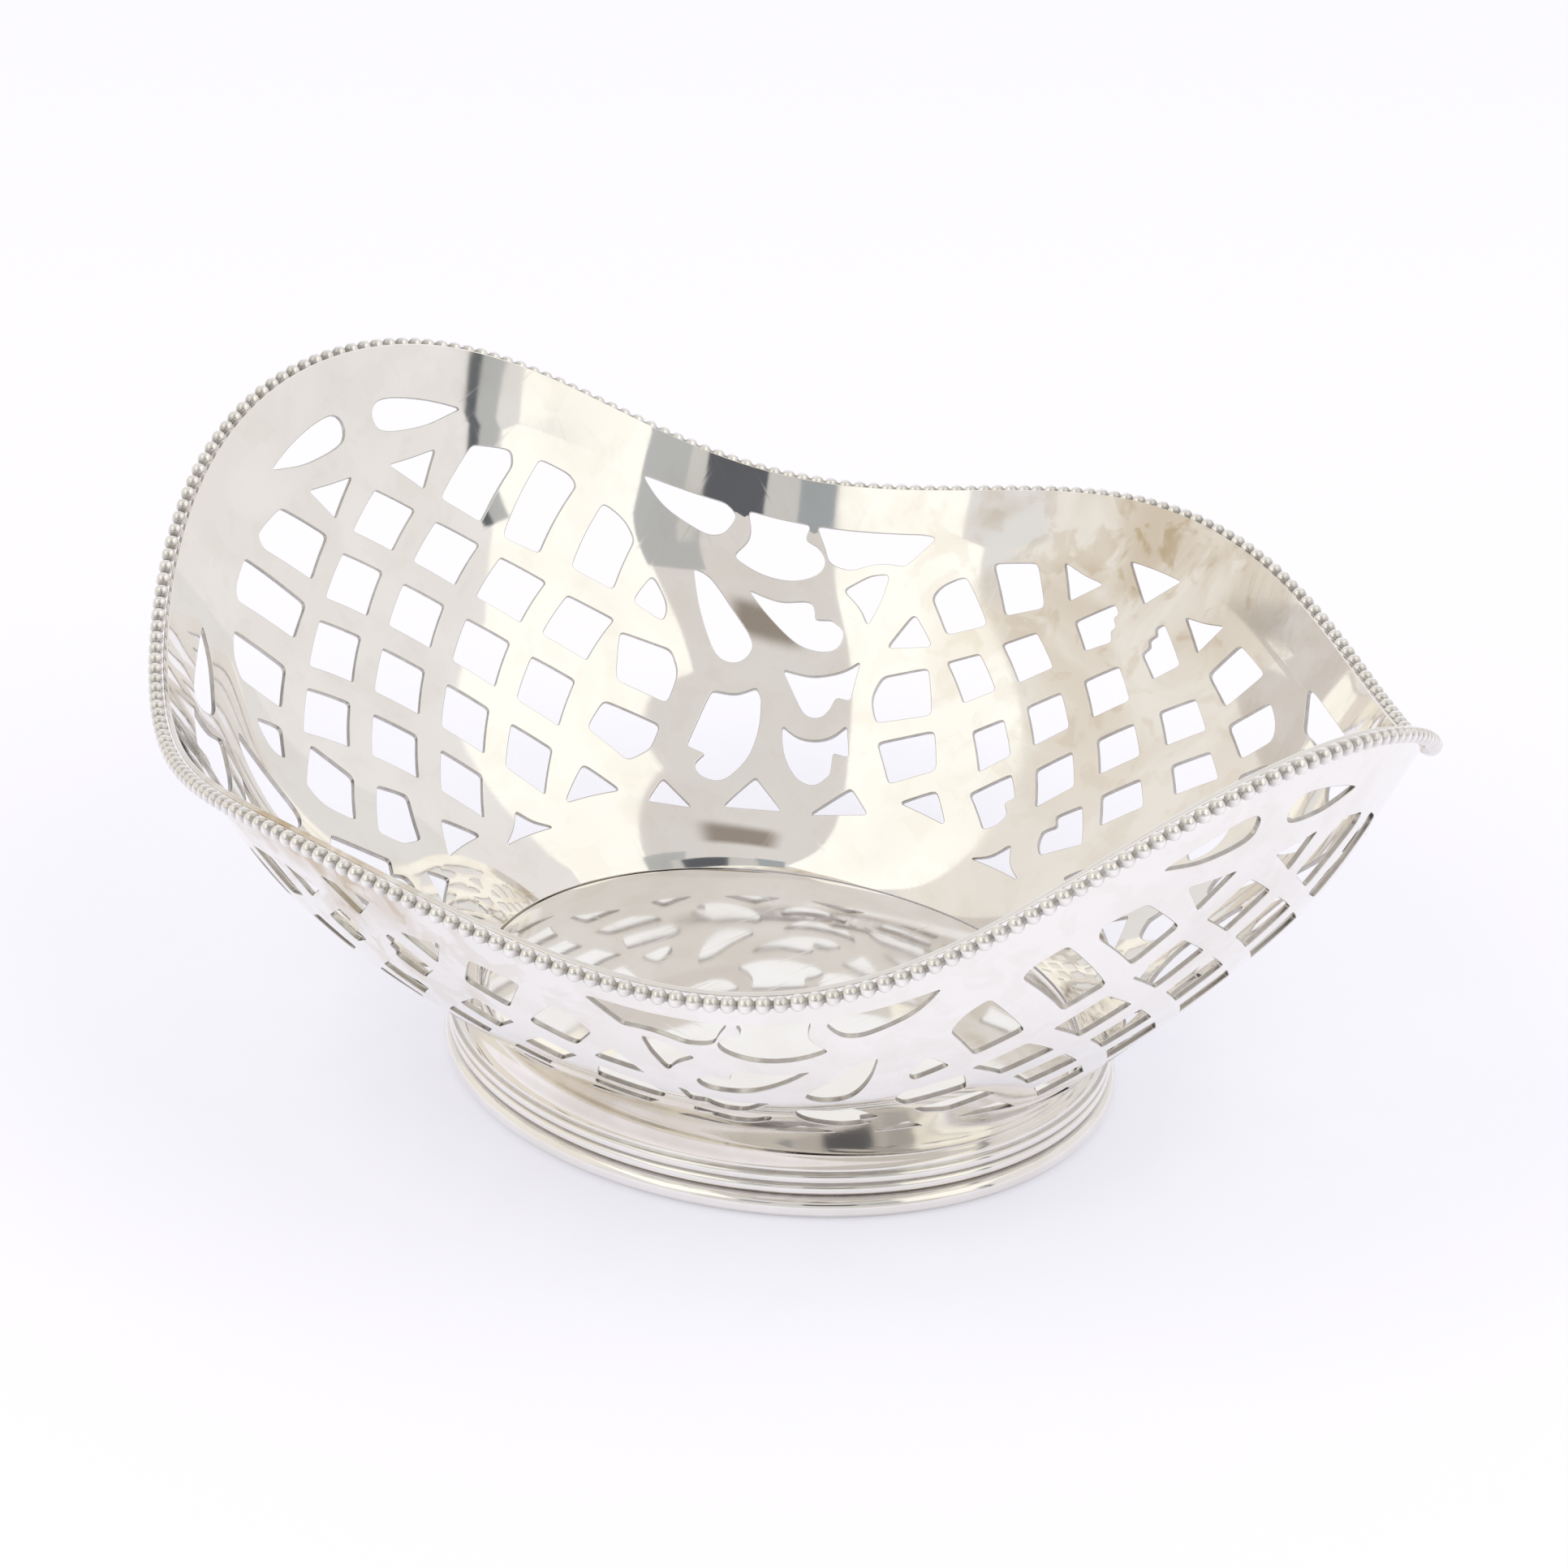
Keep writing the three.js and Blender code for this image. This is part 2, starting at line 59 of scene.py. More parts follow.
# Outline of the rim: how far it departs from an oval, and the third wave of its height
RIM_WAVE_ROUNDING = -1 * MM
RIM_END_SQUARING = -1.7 * MM
RIM_SIDE_SQUARING = -1.5 * MM
RIM_SIDE_RIPPLE = 1.1 * MM

# Section of the wall at the ends, the corners and the sides: it is straight from a share of its height
# up to the rim, and bulges out below that
STRAIGHT_FROM = 0.77
WALL_SLOPE = (0.55, 0.63, 0.65)
WALL_BULGE = (2, 3.4, 2.7)

# Plain band along the rim: from which share of the height its normals lean up as if it stood more upright,
# and by how much; its shape does not bend
BAND_FROM = 0.852
BAND_BEND_RUN = 0.012
BAND_BEND = math.radians(4)

# Tarnish on the sides: its middle and half width in degrees, and where it starts up the wall
STAIN_MIDDLE = 92
STAIN_HALF_WIDTH = 34
STAIN_FROM = 0.3
STAIN_RISE = 0.6

# Foot
COLLAR_SLOPE = 0.6 * MM
REED_HEIGHT = 1.25 * MM
REED_DEPTH = 0.42 * MM
FILLET_HEIGHT = 0.15 * MM
BASE_WIRE_EASE = 0.25 * MM

# Joints: under the collar, between it and the floor plate, in the bowl's outer face, and beside the bowl
SEAM = 0.06 * MM
FLOOR_GAP = 0.08 * MM
COLLAR_OVERLAP = 0.03 * MM
FLOOR_EDGE_GAP = 0.07 * MM
FLOOR_TURN_DOWN = 0.22 * MM

# Beads: their gap to the sheet, their sides, and how unequal they are
BEAD_GAP = 0.08 * MM
BEAD_SIDES = 14
BEAD_GROWTH = (0.96, 1.02)
BEAD_SHIFT = 0.015

# How closely the surfaces are drawn. The mean reach of the rim sets how many points its line has.
SAW_STEP = 0.42 * MM
SHEET_STEP = 1.25 * MM
EDGE_ROUNDING = 0.13 * MM
RIM_REACH = 72 * MM
FOOT_STEPS = 216
SEAT_STEPS = 1440
BEAD_LINE_STEPS = 4000
FLOOR_STEPS = 240
FLOOR_RINGS = 22

# Small steps that find the direction of the sheet and of the bead wire
SHEET_PROBE = 1e-4
BEAD_PROBE = 1e-3


class BasketSizes(bpy.types.PropertyGroup):
    """Sizes of the basket"""

    rim_length: bpy.props.FloatProperty(
        name="Rim length", description="Inside length of the rim", default=144.4 * MM, unit="LENGTH"
    )
    rim_width: bpy.props.FloatProperty(
        name="Rim width", description="Inside width of the rim", default=122 * MM, unit="LENGTH"
    )
    rim_end_height: bpy.props.FloatProperty(
        name="End height", description="Height of the rim at its two ends", default=60.6 * MM, unit="LENGTH"
    )
    rim_side_height: bpy.props.FloatProperty(
        name="Side height", description="Height of the rim at its two sides", default=46 * MM, unit="LENGTH"
    )
    rim_dip_height: bpy.props.FloatProperty(
        name="Dip height", description="Height of the rim's four dips", default=43.4 * MM, unit="LENGTH"
    )
    sheet: bpy.props.FloatProperty(
        name="Sheet", description="Thickness of the pierced sheet", default=0.6 * MM, unit="LENGTH"
    )
    bar_width: bpy.props.FloatProperty(
        name="Lattice bar", description="Width of the lattice bars", default=3 * MM, unit="LENGTH"
    )
    bead_count: bpy.props.IntProperty(name="Beads", description="Number of beads on the rim", default=258)
    bead_diameter: bpy.props.FloatProperty(
        name="Bead", description="Diameter of a bead", default=1.7 * MM, unit="LENGTH"
    )
    bead_neck: bpy.props.FloatProperty(
        name="Neck", description="Diameter of the wire between two beads", default=0.8 * MM, unit="LENGTH"
    )
    floor_length: bpy.props.FloatProperty(
        name="Floor length", description="Length of the floor plate", default=72.8 * MM, unit="LENGTH"
    )
    floor_width: bpy.props.FloatProperty(
        name="Floor width", description="Width of the floor plate", default=57 * MM, unit="LENGTH"
    )
    floor_height: bpy.props.FloatProperty(
        name="Floor height", description="Height of the floor plate's edge", default=5.9 * MM, unit="LENGTH"
    )
    floor_thickness: bpy.props.FloatProperty(
        name="Floor thickness", description="Thickness of the floor plate", default=0.8 * MM, unit="LENGTH"
    )
    floor_dome: bpy.props.FloatProperty(
        name="Floor dome", description="Rise of the floor plate's middle", default=0.3 * MM, unit="LENGTH"
    )
    foot_length: bpy.props.FloatProperty(
        name="Foot length", description="Length of the foot", default=78.6 * MM, unit="LENGTH"
    )
    foot_width: bpy.props.FloatProperty(
        name="Foot width", description="Width of the foot", default=67.4 * MM, unit="LENGTH"
    )
    foot_depth: bpy.props.FloatProperty(
        name="Foot depth", description="Thickness of the foot's ring", default=3.4 * MM, unit="LENGTH"
    )
    base_wire_height: bpy.props.FloatProperty(
        name="Base wire", description="Height of the base wire", default=2.5 * MM, unit="LENGTH"
    )
    collar_height: bpy.props.FloatProperty(
        name="Collar height", description="Height of the collar's crest", default=5.7 * MM, unit="LENGTH"
    )
    collar_inset: bpy.props.FloatProperty(
        name="Collar inset", description="How far the collar stands back", default=0.9 * MM, unit="LENGTH"
    )


class BasketFinish(bpy.types.PropertyGroup):
    """Colours of the basket and of its studio"""

    silver: bpy.props.FloatVectorProperty(
        name="Silver",
        description="Colour of the polished silver",
        subtype="COLOR",
        default=(0.93, 0.91, 0.885),
    )
    tarnish: bpy.props.FloatVectorProperty(
        name="Tarnish",
        description="Colour of thin tarnish on the silver",
        subtype="COLOR",
        default=(0.60, 0.50, 0.36),
    )
    # Soil colour, which also paints shade along the sawn edges, between the beads, under the foot and in
    # its grooves
    soil_and_shade: bpy.props.FloatVectorProperty(
        name="Soil",
        description="Colour of what gathers in corners",
        subtype="COLOR",
        default=(0.16, 0.135, 0.11),
    )
    floor: bpy.props.FloatVectorProperty(
        name="Floor",
        description="Colour of the studio floor",
        subtype="COLOR",
        default=(0.915, 0.912, 0.985),
    )


# Shape of the bowl


def unit(vectors):
    """The vectors brought to length 1"""
    return vectors / np.linalg.norm(vectors, axis=-1, keepdims=True)


def turns(count):
    """A count of angles evenly round a turn"""
    return np.arange(count) * TURN / count


class Wall:
    """The bowl's curved sheet. t is the angle round it, h is 0 on the floor line and 1 on the rim."""

    def __init__(self, sizes):
        self.sizes = sizes
        self.crest = (sizes.rim_end_height + sizes.rim_side_height) / 2
        self.foot_reach = (sizes.floor_length + sizes.floor_width) / 4
        self.depth = sizes.rim_end_height - sizes.floor_height

    def rim_height(self, t):
        s = self.sizes
        mean = (self.crest + s.rim_dip_height) / 2
        lean = (s.rim_end_height - s.rim_side_height) / 2 - RIM_WAVE_ROUNDING
        wave = (self.crest - s.rim_dip_height) / 2
        return mean + lean * np.cos(2 * t) + wave * np.cos(4 * t) + RIM_WAVE_ROUNDING * np.cos(6 * t)

    def rim(self, t):
        half_length = self.sizes.rim_length / 2 - RIM_END_SQUARING
        half_width = self.sizes.rim_width / 2 + RIM_SIDE_SQUARING - RIM_SIDE_RIPPLE
        x = half_length * np.cos(t) + RIM_END_SQUARING * np.cos(3 * t)
        y = half_width * np.sin(t) + RIM_SIDE_SQUARING * np.sin(3 * t) + RIM_SIDE_RIPPLE * np.sin(5 * t)
        return np.stack([x, y, self.rim_height(t)], -1)

    def floor_line(self, t):
        s = self.sizes
        height = np.full_like(t, s.floor_height)
        return np.stack([s.floor_length / 2 * np.cos(t), s.floor_width / 2 * np.sin(t), height], -1)

    def section_value(self, stated, t):
        """Passes smoothly through the values stated at an end, a corner and a side"""
        end, corner, side = stated
        turn = np.cos(2 * t)
        return corner + (end - side) / 2 * turn + ((end + side) / 2 - corner) * turn**2

    def flare(self, t, h):
        """Share of its outward run that the wall has made"""
        slope = self.section_value(WALL_SLOPE, t)
        up = np.minimum(h / STRAIGHT_FROM, 1)
        curve = (1 - up) ** 3 * (1 + self.section_value(WALL_BULGE, t) * up)
        return 1 - slope * (1 - h) - (1 - slope) * curve

    def inside(self, t, h):
        """A point of the inner face"""
        t, h = np.broadcast_arrays(np.asarray(t, float), np.asarray(h, float))
        low = self.floor_line(t)
        high = self.rim(t)
        place = low + (high - low) * self.flare(t, h)[..., None]
        place[..., 2] = low[..., 2] + (high - low)[..., 2] * h
        return place

    def outward(self, t, h):
        """The direction square to the sheet, pointing out of the bowl"""
        along = self.inside(t + SHEET_PROBE, h) - self.inside(t - SHEET_PROBE, h)
        up = self.inside(t, h + SHEET_PROBE) - self.inside(t, h - SHEET_PROBE)
        return unit(np.cross(along, up))

    def shine(self, t, h):
        """The direction the sheet shines in, leaning up along its plain band as if the band stood more
        upright
        """
        up = unit(self.inside(t, h + SHEET_PROBE) - self.inside(t, h - SHEET_PROBE))
        share = np.clip((np.asarray(h) - BAND_FROM) / BAND_BEND_RUN, 0, 1)
        return unit(self.outward(t, h) + up * (share * BAND_BEND)[..., None])

    def at(self, t, h, depth):
        """A point at a depth behind the inner face, square to the sheet"""
        return self.inside(t, h) + self.outward(t, h) * np.asarray(depth)[..., None]

    def roll_out(self, t, h):
        """Lays the bowl flat as a ring, in millimetres"""
        reach = self.foot_reach + self.depth * h
        return np.stack([reach * np.cos(t), reach * np.sin(t)], -1) / MM

    def roll_up(self, flat):
        """The angle and height of a point of the flat ring"""
        reach = np.linalg.norm(flat, axis=-1) * MM
        t = np.arctan2(flat[..., 1], flat[..., 0])
        return t, (reach - self.foot_reach) / self.depth


# Openings, drawn in one quarter as strokes of points (degrees from the middle of an end or a side, h). A
# stroke of one point is a straight cut to the next stroke, and a longer one is a smooth curve. The plant
# in the corner is measured from the middle of the side.


def corners(*points):
    """Strokes for an opening of straight cuts"""
    return [[point] for point in points]


def smooth(*points):
    """One stroke, for an opening with a corner at its first point only"""
    return [list(points)]


END_SQUARES = ((0, 0), (0, 2), (0, 4), (1, 1), (1, 3), (1, 5), (2, 2), (2, 4), (3, 3))
END_TEARDROP = smooth(
    (14, 0.871), (10, 0.884), (5, 0.895), (2.9, 0.89), (2.1, 0.868), (2.7, 0.839), (5.5, 0.83),
    (9.5, 0.838),
)
END_TRIANGLE = [[(2.8, 0.767), (6, 0.772)], [(9.5, 0.785)], [(6.8, 0.708)]]
END_EDGE_OPENINGS = [
    corners((8.8, 0.687), (13.6, 0.637), (19.6, 0.768), (19.8, 0.8), (14.6, 0.797)),
    corners((16.2, 0.61), (20.8, 0.585), (27.8, 0.765), (27, 0.785), (23.4, 0.797)),
    [[(25, 0.57)], [(30.3, 0.545)], [(34.4, 0.68), (33.4, 0.722)], [(31, 0.745)]],
    [[(32.8, 0.532)], [(36.5, 0.508), (37.5, 0.55)], [(36.2, 0.61)]],
    [[(27.4, 0.357)], [(34.6, 0.333), (37.2, 0.4)], [(36.9, 0.448)], [(30, 0.457)]],
    corners((20, 0.26), (25.2, 0.208), (29.8, 0.235), (32.6, 0.285), (24.4, 0.313)),
    corners((10.6, 0.136), (22, 0.153), (16.9, 0.197)),
]
END_FOOT_ARCH = [[(-6, 0.102)], [(6, 0.102), (2.5, 0.118)], [(0, 0.142), (-2.5, 0.118)]]

SIDE_SQUARES = ((0, 0), (0, 2), (1, 1), (2, 0), (2, 2), (3, 1))
SIDE_LEAF_GAP = [[(-3, 0.85)], [(0, 0.76), (1.6, 0.805)], [(3, 0.85)]]
SIDE_TRIANGLE = [[(5, 0.777), (7.3, 0.79)], [(9.6, 0.815)], [(8, 0.718)]]
SIDE_LEAF_OPENING = corners(
    (3, 0.738), (2.2, 0.716), (2.8, 0.704), (2, 0.684), (2.6, 0.671), (1.9, 0.648), (4.5, 0.608),
    (6.7, 0.67),
)
SIDE_BUD_OPENING = [
    *corners((6, 0.31), (3.6, 0.268), (4.9, 0.254)),
    [(3.3, 0.233), (4, 0.208)],
    *corners((5.6, 0.192), (10.2, 0.252)),
]
SIDE_EDGE_OPENINGS = [
    corners((10.4, 0.692), (14.3, 0.66), (16.7, 0.797), (12.3, 0.805)),
    [[(15.9, 0.632)], [(20, 0.6)], [(22.2, 0.694), (21.4, 0.73)], [(19.2, 0.76)]],
    corners((21.3, 0.568), (26.2, 0.555), (23.8, 0.65)),
    [[(19.4, 0.405)], [(26, 0.375), (27, 0.43)], [(26.1, 0.483)], [(21.2, 0.513)]],
    corners((16.4, 0.287), (22.4, 0.245), (25.3, 0.33), (18.4, 0.37)),
    corners((11.8, 0.18), (20, 0.208), (15.2, 0.245)),
]
SIDE_FOOT_ARCH = [[(-5, 0.13)], [(5, 0.13), (2, 0.148)], [(0, 0.184), (-2, 0.148)]]

TOP_OPENINGS = [
    [
        *corners((34.5, 0.87), (24, 0.872), (22.6, 0.865)),
        [(25.4, 0.78), (28, 0.785)],
        [(30.8, 0.757), (33, 0.77), (33.6, 0.815)],
    ],
    [
        *corners((35, 0.87), (35.8, 0.823)),
        [(34.4, 0.813), (33.5, 0.777), (34.2, 0.735), (36.9, 0.703), (40.5, 0.703)],
        [(43.6, 0.731), (41.8, 0.777), (41.3, 0.823)],
        [(41.6, 0.87)],
    ],
    [
        *corners((53.5, 0.86), (44, 0.872)),
        [(42.8, 0.849), (44.2, 0.793), (45.9, 0.771), (47.8, 0.775), (51.4, 0.803)],
    ],
]
PLANT_EYE = smooth(
    (48.4, 0.662), (46.4, 0.651), (44, 0.586), (42, 0.526), (42.3, 0.49), (44, 0.462), (46.1, 0.46),
    (47.3, 0.49), (48.2, 0.572),
)
PLANT_HOOKS = [
    [
        [(41.9, 0.649), (38.4, 0.637), (35, 0.651)],
        [(34.4, 0.606)],
        [(32.6, 0.612), (31.2, 0.585), (31.8, 0.542), (33.8, 0.528), (36.6, 0.54), (39.8, 0.596)],
    ],
    [
        [(38.2, 0.467), (34.5, 0.463), (31, 0.484)],
        *corners((29, 0.513), (29.7, 0.418), (31.5, 0.424)),
        [(32, 0.398), (33.2, 0.373), (35.3, 0.373), (36.8, 0.415)],
    ],
    [
        [(38.5, 0.34), (36.4, 0.32), (33.8, 0.318), (31.4, 0.332)],
        *corners((29.7, 0.36), (28.9, 0.292), (31.2, 0.298)),
        [(31.3, 0.25), (33.1, 0.225), (34.9, 0.222), (36.8, 0.237), (38.3, 0.28)],
    ],
]
LEAF_GAP = [
    *corners((26.8, 0.757), (27.4, 0.683)),
    [(28.6, 0.606), (29.6, 0.655)],
    *corners((31.5, 0.698), (28.8, 0.747)),
]
LONG_OPENING = [
    [(48, 0.383), (44.6, 0.388)],
    [(41.7, 0.413)],
    [(41.2, 0.394), (41.8, 0.328), (43.8, 0.261), (47.3, 0.212), (50, 0.196), (52.5, 0.202), (53, 0.221)],
    [(50.8, 0.247)],
    [(53.7, 0.255), (51, 0.312)],
]
FOOT_GAPS = [
    corners((43, 0.217), (39, 0.153), (49.4, 0.143)),
    corners((59.4, 0.182), (55.4, 0.132), (63.4, 0.136)),
    corners((27.8, 0.224), (24.6, 0.173), (34, 0.154)),
]


class Lattice:
    """A panel of square openings, whose columns widen and whose rows curve up away from its middle"""

    def __init__(self, top, row, column, widening, curve):
        self.top = top
        self.row = row
        self.column = column
        self.widening = widening
        self.curve = curve

    def node(self, column, row):
        """Where a column and a row cross"""
        angle = self.column * column + self.widening * column * column
        return np.array([angle, self.top - self.row * row + self.curve * angle * angle])

    def opening(self, column, row, place, bar_width):
        """The strokes of one square, with bars of the stated width round it"""
        right = self.node(column + 1, row)
        left = self.node(column - 1, row) if column else right * (-1, 1)
        above = self.node(column, row - 1)
        below = self.node(column, row + 1)
        centre = np.array([(left[0] + right[0]) / 2, (above[1] + below[1]) / 2])
        side = np.linalg.norm(place(right[None]) - place(above[None]))
        open_share = 1 - bar_width / side
        return [[tuple(centre + (point - centre) * open_share)] for point in (left, below, right, above)]


# Openings on the middle of a panel, and those on both sides of it with sharp or rounded corners
END_MIDDLE_OPENINGS = [END_FOOT_ARCH]
END_SHARP_OPENINGS = [END_TEARDROP, END_TRIANGLE]
SIDE_MIDDLE_OPENINGS = [SIDE_LEAF_GAP, SIDE_FOOT_ARCH]
PLANT_OPENINGS = [PLANT_EYE, *PLANT_HOOKS, LONG_OPENING, *FOOT_GAPS]
SIDE_SHARP_OPENINGS = [SIDE_TRIANGLE, SIDE_LEAF_OPENING, SIDE_BUD_OPENING, *PLANT_OPENINGS]
SIDE_ROUND_OPENINGS = [*SIDE_EDGE_OPENINGS, *TOP_OPENINGS, LEAF_GAP]
END_LATTICE = Lattice(top=0.667, row=0.0917, column=7, widening=0.27, curve=0.0001)
SIDE_LATTICE = Lattice(top=0.537, row=0.1035, column=5, widening=0.1, curve=0.00026)


def through(points, shares):
    """Places along a smooth curve that runs through the points, at shares of its whole run"""
    points = np.asarray(points, float)
    last = len(points) - 1
    run = shares * last
    start = np.minimum(run.astype(int), last - 1)
    part = (run - start)[:, None]
    before = points[np.maximum(start - 1, 0)]
    here = points[start]
    there = points[start + 1]
    after = points[np.minimum(start + 2, last)]
    slope_here = (there - before) / 2
    slope_there = (after - here) / 2
    gap = here - there
    curve = (2 * gap + slope_here + slope_there) * part**3
    return curve + (-3 * gap - 2 * slope_here - slope_there) * part**2 + slope_here * part + here


def saw(strokes, place, easing):
    """The closed line of an opening in close steps. easing says how far its corners are filed round."""
    outline = []
    for index, stroke in enumerate(strokes):
        points = np.array([*stroke, strokes[(index + 1) % len(strokes)][0]], float)
        spots = place(points)
        length = np.linalg.norm(np.diff(spots, axis=0), axis=1).sum()
        count = max(3, round(length / SAW_STEP))
        outline.append(through(points, np.arange(count) / count))
    outline = np.concatenate(outline)
    for _ in range(easing):
        outline = (np.roll(outline, 1, 0) + 2 * outline + np.roll(outline, -1, 0)) / 4
    return outline


def all_openings(wall):
    """Every opening of the bowl as an array of (angle, height)"""
    found = []
    crisp, rounded_off = 2, 5

    def draw(strokes, middle, turn, easing, lattice_square=None):
        def spread(points):
            return np.radians(middle + turn * points[:, 0]), points[:, 1]

        def place(points):
            return wall.inside(*spread(points))

        if lattice_square:
            strokes = strokes.opening(*lattice_square, place, wall.sizes.bar_width)
        found.append(np.stack(spread(saw(strokes, place, easing)), -1))

    panels = (
        (0, END_LATTICE, END_SQUARES, END_MIDDLE_OPENINGS, END_SHARP_OPENINGS, END_EDGE_OPENINGS),
        (90, SIDE_LATTICE, SIDE_SQUARES, SIDE_MIDDLE_OPENINGS, SIDE_SHARP_OPENINGS, SIDE_ROUND_OPENINGS),
    )
    for first, lattice, squares, middle_openings, sharp, rounded in panels:
        for middle in (first, first + 180):
            for strokes in middle_openings:
                draw(strokes, middle, 1, crisp)
            for turn in (1, -1):
                for square in squares:
                    if square[0] or turn > 0:
                        draw(lattice, middle, turn, crisp, square)
                for strokes in sharp:
                    draw(strokes, middle, turn, crisp)
                for strokes in rounded:
                    draw(strokes, middle, turn, rounded_off)
    return found


# Meshes


def add_piece(name, node, points, faces, material, normals=None, marks=None):
    """Makes a piece that stands for one node of the frame. marks are shares between 0 and 1 by name."""
    mesh = bpy.data.meshes.new(name)
    mesh.from_pydata(np.asarray(points).tolist(), [], faces)
    mesh.validate()
    mesh.polygons.foreach_set("use_smooth", [True] * len(mesh.polygons))
    for mark, values in (marks or {}).items():
        layer = mesh.attributes.new(mark, "FLOAT", "POINT")
        layer.data.foreach_set("value", np.asarray(values, float))
    mesh.materials.append(material)
    mesh.update()
    if normals is not None:
        mesh.normals_split_custom_set_from_vertices(np.asarray(normals).tolist())
    piece = bpy.data.objects.new(name, mesh)
    bpy.context.scene.collection.objects.link(piece)
    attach(piece, "root")
    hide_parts(node)
    frame_slot(node)
    return piece


def frame_slot(node):
    """The finish that the record names for a node"""
    for part in frame["record"]["subparts"]:
        if part["node"] == node:
            return part["material_slot"]
    raise RuntimeError(f"no finish is named for {node}")


def loft(rings, closed=True):
    """Faces between rings of equal count, each a closed section"""
    rings = np.asarray(rings)
    ring_count, size = rings.shape[:2]
    faces = []
    for ring in range(ring_count if closed else ring_count - 1):
        here = ring * size
        there = (ring + 1) % ring_count * size
        for i in range(size):
            j = (i + 1) % size
            faces.append((here + i, there + i, there + j, here + j))
    return rings.reshape(-1, 3), faces


def within(points, line):
    """Which of the flat points lie within a closed line"""
    found = np.zeros(len(points), bool)
    near = np.flatnonzero(((points >= line.min(0)) & (points <= line.max(0))).all(1))
    x, y = points[near].T[:, :, None]
    (x0, y0), (x1, y1) = line.T, np.roll(line, -1, 0).T
    rises = (y0 > y) != (y1 > y)
    with np.errstate(divide="ignore", invalid="ignore"):
        left = x < (x1 - x0) * (y - y0) / (y1 - y0) + x0
    found[near] = (rises & left).sum(1) % 2 == 1
    return found


def bowl_lines(wall):
    """Flat lines of the openings, the floor and the rim, each with the metal on its right"""
    count = round(TURN * RIM_REACH / SAW_STEP)
    around = turns(count)
    floor_line = np.stack([around, np.zeros(count)], -1)
    lines = []
    for line in [*all_openings(wall), floor_line]:
        flat = wall.roll_out(line[:, 0], line[:, 1])
        ahead = np.roll(flat, -1, 0)
        area = (flat[:, 0] * ahead[:, 1] - flat[:, 1] * ahead[:, 0]).sum()
        lines.append(flat if area > 0 else flat[::-1])
    lines.append(wall.roll_out(-around, np.ones(count)))
    return lines


def cut_edge(wall, line, into_metal):
    """The rounded edge along a line, from the inner face to the outer one

    Each of its rings has points, normals, and how far it faces away from the metal.
    """
    sheet = wall.sizes.sheet
    place = wall.roll_up(line + into_metal)
    outward = wall.shine(*place)
    away = unit(wall.inside(*wall.roll_up(line)) - wall.inside(*place))
    # Share of the way into the metal, depth in the sheet, and how far the normal points out and away
    section = (
        (1, 0, -1, 0),
        (0.3, 0.3 * EDGE_ROUNDING, -0.7, 0.7),
        (0, EDGE_ROUNDING, 0, 1),
        (0, sheet - EDGE_ROUNDING, 0, 1),
        (0.3, sheet - 0.3 * EDGE_ROUNDING, 0.7, 0.7),
        (1, sheet, 1, 0),
    )
    rings = []
    for share, depth, along_out, along_away in section:
        t, h = wall.roll_up(line + into_metal * share)
        points = wall.at(t, h, np.full(len(line), depth))
        rings.append((points, outward * along_out + away * along_away, along_away))
    return rings


def sheet_net(wall, border):
    """An even net of points between the lines, on the flat ring"""
    tree = KDTree(len(border))
    for index, (x, y) in enumerate(border):
        tree.insert((x, y, 0), index)
    tree.balance()
    clear = 0.45 * SHEET_STEP / MM
    net = []
    rows = round(wall.depth / SHEET_STEP)
    for row in range(1, rows):
        h = row / rows
        reach = np.linalg.norm(wall.roll_out(0.0, h)) * MM
        count = round(TURN * reach / SHEET_STEP)
        angles = (np.arange(count) + row % 2 / 2) * TURN / count
        for x, y in wall.roll_out(angles, np.full(count, h)):
            if tree.find((x, y, 0))[2] > clear:
                net.append((x, y))
    return np.array(net)


def sheet_triangles(flat, lines):
    """Triangles over the flat points that keep to the lines and leave the openings free"""
    links = []
    first = 0
    for line in lines:
        count = len(line)
        links += [(first + i, first + (i + 1) % count) for i in range(count)]
        first += count
    inner_only, tolerance = 1, 1e-6
    filled = delaunay_2d_cdt([Vector(point) for point in flat], links, [], inner_only, tolerance)
    if len(filled[0]) != len(flat):
        raise RuntimeError("two openings of the bowl cross")
    triangles = np.array([[filled[3][corner][0] for corner in face] for face in filled[2]])
    middles = flat[triangles].mean(1)
    kept = np.ones(len(triangles), bool)
    for line in lines[:-1]:
        kept &= ~within(middles, line)
    return triangles[kept]


